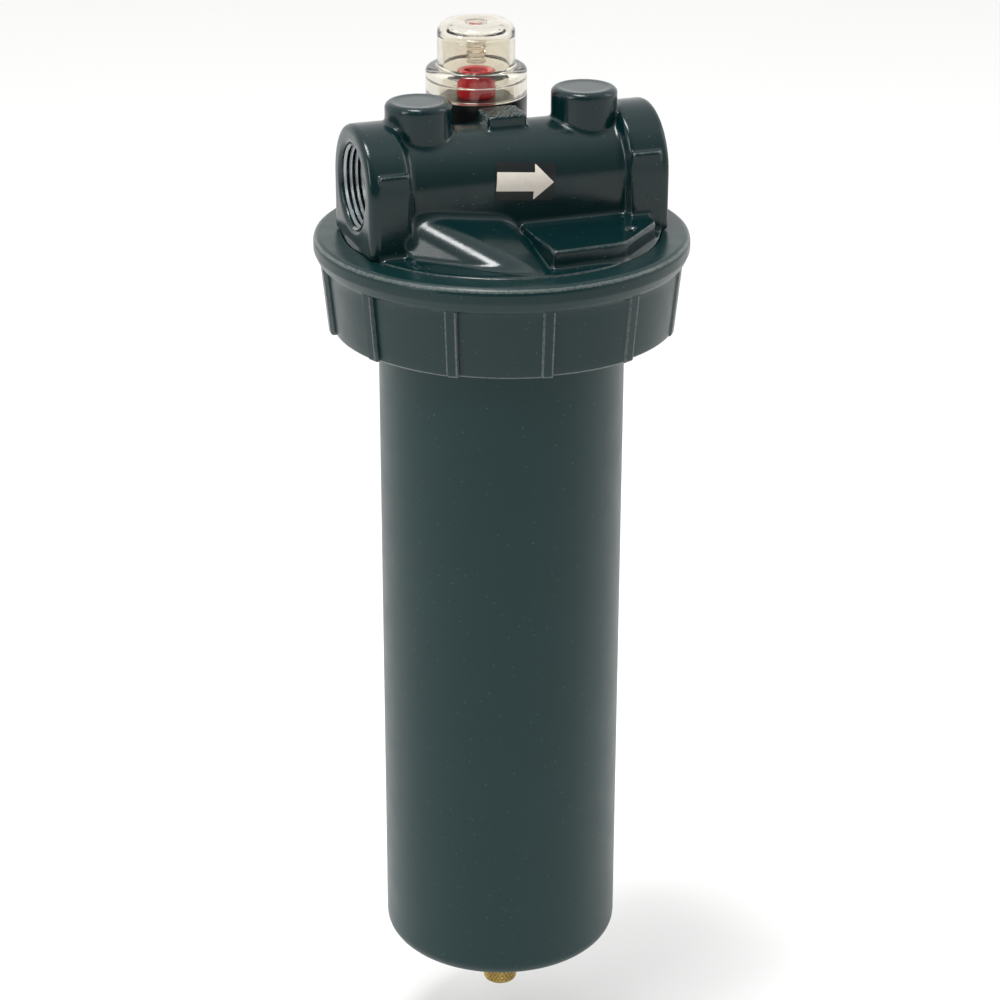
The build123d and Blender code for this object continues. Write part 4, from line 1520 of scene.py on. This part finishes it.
# --- Indicator -------------------------------------------------------------------------------
@dataclass
class PressureIndicator:
    """Differential pressure indicator: black base, clear domed cover, red flag and its spring."""

    y: float = 31.0
    r: float = 20.4
    seat: float = 16.0
    base_top: float = 24.5
    top_groove: tuple[float, float] = (17.0, 19.4)
    foot_groove: tuple[float, float] = (12.7, 15.3)
    groove_deep: float = 1.6
    spigot_r: float = 11.0
    spigot_z: float = 2.0
    chamber: tuple[float, float] = (6.5, 20.5)
    flange_top: float = 36.0
    dome_r: float = 15.6
    top: float = 55.0
    bore_r: float = 13.4
    step_r: float = 15.0
    step_z: float = 30.0
    roof: float = 50.0
    post_r: float = 3.9
    post_bottom: float = 37.0
    grooves: int = 4
    groove_pitch: float = 2.6
    groove_depth: float = 0.7
    flag_r: float = 7.8
    flag_bore: float = 4.7
    flag_top: float = 34.2
    skirt_r: float = 6.6
    skirt_deep: float = 3.0
    wire: float = 0.5
    coil_r: float = 5.2
    coil_z: tuple[float, float] = (13.0, 20.5)
    coil_turns: float = 5.0

    def base(self) -> None:
        """Black base with its O-ring grooves, spigot and spring chamber."""
        groove_top, groove_foot = self.base_top - self.groove_deep, self.seat + self.groove_deep
        corners = [
            (0.0, self.base_top),
            (self.top_groove[0], self.base_top),
            (self.top_groove[0], groove_top),
            (self.top_groove[1], groove_top),
            (self.top_groove[1], self.base_top),
            (self.r, self.base_top),
            (self.r, self.seat),
            (self.foot_groove[1], self.seat),
            (self.foot_groove[1], groove_foot),
            (self.foot_groove[0], groove_foot),
            (self.foot_groove[0], self.seat),
            (self.spigot_r, self.seat),
            (self.spigot_r, self.spigot_z),
            (self.chamber[0], self.spigot_z),
            self.chamber,
            (0.0, self.chamber[1]),
        ]
        radii = [0] + [0.2] * 4 + [0.3, 0.5] + [0.2] * 5 + [0.6, 0.4, 0.3, 0]
        turned(
            "indicator_base_body", corners, radii, Body.HEAD, ACETAL_BLACK,
            ["indicator_base"], around=144, steps=3, centre=(0.0, self.y),
        )

    def cover(self) -> None:
        """Clear cover: flange, domed crown, inner bore, step and grooved centre post."""
        corners = [(0.0, self.post_bottom), (self.post_r, self.post_bottom)]
        waist = self.post_r - self.groove_depth
        for groove in range(self.grooves):
            foot = self.post_bottom + 2.2 + self.groove_pitch * groove
            corners += [(self.post_r, foot), (waist, foot + 0.5)]
            corners += [(waist, foot + 0.9), (self.post_r, foot + 1.4)]
        corners += [
            (self.post_r, self.roof),
            (self.bore_r, self.roof),
            (self.bore_r, self.step_z),
            (self.step_r, self.step_z),
            (self.step_r, self.base_top),
            (self.r, self.base_top),
            (self.r, self.flange_top),
            (self.dome_r, self.flange_top),
            (self.dome_r, self.top - 1.9),
            (8.0, self.top - 0.3),
            (0.0, self.top),
        ]
        shell_radii = [0.8, 3.4, 0.5, 0.5, 0.2, 0.35, 2.6, 1.0, 7.2, 6.0, 0]
        radii = [0, 0.7] + [0.2] * 4 * self.grooves + shell_radii
        turned(
            "indicator_clear_cover", corners, radii, Body.HEAD, CLEAR_POLYAMIDE,
            ["indicator_cover"], around=144, steps=8, centre=(0.0, self.y), crisp=60,
        )

    def flag(self) -> None:
        """Red sleeve that lifts round the post."""
        step = self.base_top + self.skirt_deep
        corners = [
            (self.skirt_r, self.base_top),
            (self.flag_r, self.base_top),
            (self.flag_r, self.flag_top),
            (self.flag_bore, self.flag_top),
            (self.flag_bore, step),
            (self.skirt_r, step),
        ]
        radii = [0.1, 0.2, 0.7, 0.4, 0.1, 0.1]
        turned(
            "red_flag_sleeve", corners, radii, Body.FLAG, FLAG_RED, ["indicator_flag"],
            around=96, steps=4, centre=(0.0, self.y),
        )

    def spring(self) -> None:
        """Coil between the piston and the chamber roof, built as one fixed shape on the head."""
        bottom, top = self.coil_z
        steel = SPRING_WIRE.build()
        coil = Helix(
            "sensing_coil",
            radius=self.coil_r,
            pitch=(top - bottom - 2 * self.wire) / self.coil_turns,
            turns=self.coil_turns,
            wire=self.wire,
            origin=(0.0, self.y, bottom + self.wire),
            sides=8,
            around=36,
        ).make(steel)
        hand_over(coil, Body.HEAD, steel, ["sensing_spring"])
        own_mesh(coil)

    def build(self) -> None:
        """Builds the indicator's shown pieces."""
        self.base()
        self.cover()
        self.flag()
        self.spring()


# --- Drain -----------------------------------------------------------------------------------
@dataclass
class KnurledDrain:
    """Brass drain knob: a core with a diamond knurl wrapped round it."""

    knob_r: float = 7.4
    knob_z: tuple[float, float] = (-373.0, -351.5)
    hole_r: float = 2.0
    socket: tuple[float, float] = (5.06, -359.5)
    seat: tuple[float, float] = (3.6, -363.0)
    across: int = 30
    rows: int = 16
    border: float = 0.8
    tooth: float = 0.45
    tooth_tip: float = 0.12

    def core(self) -> None:
        """Builds the knob's core."""
        low, high = self.knob_z
        core_r = self.knob_r - self.tooth
        corners = [
            (self.hole_r, low),
            (core_r, low),
            (core_r, high),
            (self.socket[0], high),
            self.socket,
            (self.seat[0], self.socket[1]),
            self.seat,
            (self.hole_r, self.seat[1]),
        ]
        radii = [0.5, 0.7, 0.7, 0.3] + [0.1] * 4
        turned(
            "drain_knob_core", corners, radii, Body.KNOB, DULL_BRASS, ["drain_knob"],
            around=96, steps=3,
        )

    def knurl(self) -> None:
        """Stands a low pyramid on the core for each diamond, every second row half a step on."""
        brass = DULL_BRASS.build()
        low, high = self.knob_z
        core_r = self.knob_r - self.tooth
        pitch = (high - low - 2 * self.border) / self.rows
        heights = [low + self.border + pitch * (row + 0.5) for row in range(self.rows)]
        spots = ring_spots("knurl_points", core_r, heights, self.across, stagger=0.5)
        width = 0.56 * 2 * math.pi * core_r / self.across
        recipe = Recipe("diamond_knurl")
        inputs = {
            "Vertices": 4,
            "Radius Top": recipe.size("Tooth top", self.tooth_tip * MM),
            "Radius Bottom": recipe.size("Tooth width", width * MM),
            "Depth": recipe.size("Tooth height", self.tooth * MM),
        }
        tooth = recipe.add("GeometryNodeMeshCone", inputs).outputs["Mesh"]
        knurl = recipe.run("drain_knob_knurl", recipe.stand_out(tooth), brass, spots)
        hand_over(knurl, Body.KNOB, brass, ["drain_knob"])

    def build(self) -> None:
        """Builds the knob."""
        self.core()
        self.knurl()


# --- Filter element --------------------------------------------------------------------------
@dataclass
class PunchedCore:
    """Perforated steel core tube of the element."""

    outer_r: float = 19.0
    wall: float = 1.0
    z: tuple[float, float] = (-303.0, -50.0)
    around: int = 24
    rows: int = 50
    hole: float = 1.5

    @property
    def reach(self) -> float:
        """Distance from the axis to the middle of each flat cell."""
        return self.outer_r * math.cos(math.pi / self.around)

    @property
    def height(self) -> float:
        """Height of a cell."""
        return (self.z[1] - self.z[0]) / self.rows

    def tile(self) -> Mesh:
        """One pierced cell of the wall: both skins and the wall of the hole.

        Returns:
            The mesh, with its outer side along +Z.
        """
        tall = self.height / 2
        points: list[tuple[float, float, float]] = []
        for depth in (0.0, self.wall):
            wide = (self.reach - depth) * math.tan(math.pi / self.around)
            for across, along in ((tall, wide), (-tall, wide), (-tall, -wide), (tall, -wide)):
                points.append((across, along, -depth))
            for eighth in range(1, 9):
                a = math.pi / 4 * eighth
                points.append((self.hole * math.cos(a), self.hole * math.sin(a), -depth))
        inner = len(points) // 2
        faces = []
        for side in range(4):
            rim = [4 + (2 * side + step) % 8 for step in (2, 1, 0)]
            skin = [side, (side + 1) % 4] + rim
            faces += [skin, [inner + corner for corner in reversed(skin)]]
        for eighth in range(8):
            ahead = (eighth + 1) % 8
            faces.append([4 + eighth, 4 + ahead, inner + 4 + ahead, inner + 4 + eighth])
        return make_mesh("core_tile", np.array(points), faces, smooth=False)

    def close_ends(self, tube: Object) -> None:
        """Joins the tiles and closes both ends of the wall.

        Args:
            tube: The tiled tube.
        """
        with edited(tube.data) as work:
            bmesh.ops.remove_doubles(work, verts=work.verts, dist=0.01 * MM)
            for level in self.z:
                rim = [
                    edge
                    for edge in work.edges
                    if edge.is_boundary and abs(edge.verts[0].co.z - level * MM) < 0.1 * MM
                ]
                bmesh.ops.bridge_loops(work, edges=rim)
            bmesh.ops.recalc_face_normals(work, faces=work.faces)

    def build(self) -> None:
        """Tiles the pierced cell round and along the tube."""
        tin = TINPLATE.build()
        heights = [self.z[0] + self.height * (row + 0.5) for row in range(self.rows)]
        spots = ring_spots("tile_points", self.reach, heights, self.around)
        cell = bpy.data.objects.new("core_tile", self.tile())
        recipe = Recipe("punched_tube")
        carried = recipe.add("GeometryNodeObjectInfo", {"Object": cell}).outputs["Geometry"]
        tube = recipe.run("punched_core_tube", recipe.stand_out(carried), tin, spots)
        bpy.data.objects.remove(cell)
        self.close_ends(tube)
        hand_over(tube, Body.HEAD, tin, ["element_core"])


@dataclass
class CarriedNodes:
    """CAD pieces whose shape is already right and that only need their finish."""

    zinc: tuple[str, ...] = ("tie_rod", "element_washer", "element_nut", "piston_retainer")
    rubber: tuple[str, ...] = (
        "bowl_seal",
        "element_top_gasket",
        "element_bottom_gasket",
        "indicator_base_seal",
        "indicator_cover_seal",
        "drain_washer",
    )
    tin: tuple[str, ...] = ("element_top_cap", "element_bottom_cap")
    fibre: tuple[str, ...] = ("element_media",)
    felt: tuple[str, ...] = ("element_drain_sleeve",)
    acetal: tuple[str, ...] = ("sensing_piston", "slip_washer")
    ferrite: tuple[str, ...] = ("sensing_magnet", "flag_magnet")
    brass: tuple[str, ...] = ("drain_body", "drain_nut", "drain_stem")

    def build(self) -> None:
        """Puts each finish on its pieces."""
        table: dict[Finish, tuple[str, ...]] = {
            ZINC_PLATE: self.zinc,
            NITRILE: self.rubber,
            TINPLATE: self.tin,
            FIBRE_MEDIA: self.fibre,
            DRAIN_FELT: self.felt,
            ACETAL_WHITE: self.acetal,
            FERRITE: self.ferrite,
            DULL_BRASS: self.brass,
        }
        for finish, names in table.items():
            material = finish.build()
            for name in names:
                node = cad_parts[name]
                if not node.material_slots:
                    node.data.materials.append(material)
                for slot in node.material_slots:
                    slot.material = material
                LOG.info("%s: CAD piece in %s", name, finish.name)


# --- Studio ----------------------------------------------------------------------------------
@dataclass
class Studio:
    """Pale floor, soft lights and the camera."""

    azimuth: float = 19.51
    elevation: float = 23.17
    distance: float = 1145.5
    aim: tuple[float, float] = (-0.48, -141.0)
    roll: float = 0.12
    lens: float = 99.2
    floor_z: float = -399.0
    floor_half: float = 6000.0
    lamp_aim: tuple[float, float, float] = (0.0, 0.0, -0.1)

    def axes(self) -> tuple[Vector, Vector, Vector]:
        """Right, up and backward directions of the camera.

        Returns:
            The three directions.
        """
        az, el, roll = (math.radians(a) for a in (self.azimuth, self.elevation, self.roll))
        back = Vector((-math.sin(az) * math.cos(el), -math.cos(az) * math.cos(el), math.sin(el)))
        right = Vector((math.cos(az), -math.sin(az), 0.0))
        up = back.cross(right)
        c, s = math.cos(roll), math.sin(roll)
        return right * c + up * s, up * c - right * s, back

    def camera(self) -> None:
        """Sets up the camera."""
        right, up, back = self.axes()
        az = math.radians(self.azimuth)
        level = Vector((math.cos(az), -math.sin(az), 0.0))
        place = (level * self.aim[0] + Vector((0, 0, self.aim[1])) + back * self.distance) * MM
        data = bpy.data.cameras.new("camera")
        data.lens, data.sensor_width, data.clip_start = self.lens, 36.0, 0.01
        eye = bpy.data.objects.new("camera", data)
        eye.matrix_world = Matrix((right, up, back)).transposed().to_4x4()
        eye.matrix_world.translation = place
        bpy.context.scene.collection.objects.link(eye)
        bpy.context.scene.camera = eye

    def lamp(
        self, name: str, place: tuple[float, float, float], size: tuple[float, float], power: float
    ) -> None:
        """Adds a soft rectangular light aimed at the middle of the object.

        Args:
            name: Name of the light.
            place: Position in metres.
            size: Width and height in metres.
            power: Power in watts.
        """
        data = bpy.data.lights.new(name, "AREA")
        data.shape, data.size, data.size_y, data.energy = "RECTANGLE", size[0], size[1], power
        light = bpy.data.objects.new(name, data)
        light.location = place
        aim = Vector(self.lamp_aim) - Vector(place)
        light.rotation_euler = aim.to_track_quat("-Z", "Y").to_euler()
        bpy.context.scene.collection.objects.link(light)

    def surround(self, tree: Tree) -> None:
        """White surround that is darker on the open side, in front of the object.

        Args:
            tree: Shader tree of the world.
        """
        az = math.radians(self.azimuth)
        place = add_node(tree, "ShaderNodeTexCoord").outputs["Generated"]
        inputs = {0: place, 1: (-math.sin(az), -math.cos(az), 0.0)}
        ahead = add_node(tree, "ShaderNodeVectorMath", inputs, operation="DOT_PRODUCT")
        glow = spread(tree, ahead.outputs["Value"], (0.15, 0.85), (1.05, 0.2))
        back = tree.nodes["Background"]
        back.inputs["Color"].default_value = (1.0, 1.0, 1.0, 1.0)
        tree.links.new(glow, back.inputs["Strength"])

    def floor(self) -> None:
        """Lays the floor."""
        far, z = self.floor_half, self.floor_z
        corners = [(-far, -far, z), (far, -far, z), (far, far, z), (-far, far, z)]
        mesh = make_mesh("studio_floor", np.array(corners), [[0, 1, 2, 3]], smooth=False)
        mesh.materials.append(PAPER_WHITE.build())
        link("studio_floor", mesh)

    def build(self) -> None:
        """Builds floor, world, lights and camera."""
        self.floor()
        world = bpy.data.worlds.new("studio")
        world.use_nodes = True
        self.surround(world.node_tree)
        bpy.context.scene.world = world
        self.lamp("overhead_softbox", (-0.3, -0.15, 1.5), (0.6, 0.35), 16.0)
        self.lamp("left_softbox", (-1.6, -0.6, 0.8), (0.4, 1.2), 8.5)
        self.lamp("right_softbox", (1.7, -0.3, 0.8), (0.5, 1.3), 4.0)
        bpy.context.scene.view_settings.view_transform = "Standard"
        self.camera()


def main() -> None:
    """Builds every sub-assembly in order and reports each piece."""
    logging.basicConfig(level=logging.INFO, format="%(name)s: %(message)s")
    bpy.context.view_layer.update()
    Studio().build()
    builders: list[Callable[[], None]] = [
        CastHead().build,
        HeadSkirt().build,
        FlowPlate().build,
        ClampRing().build,
        LongBowl().build,
        PressureIndicator().build,
        KnurledDrain().build,
        PunchedCore().build,
        CarriedNodes().build,
    ]
    for build in builders:
        build()


if __name__ == "__main__":
    main()
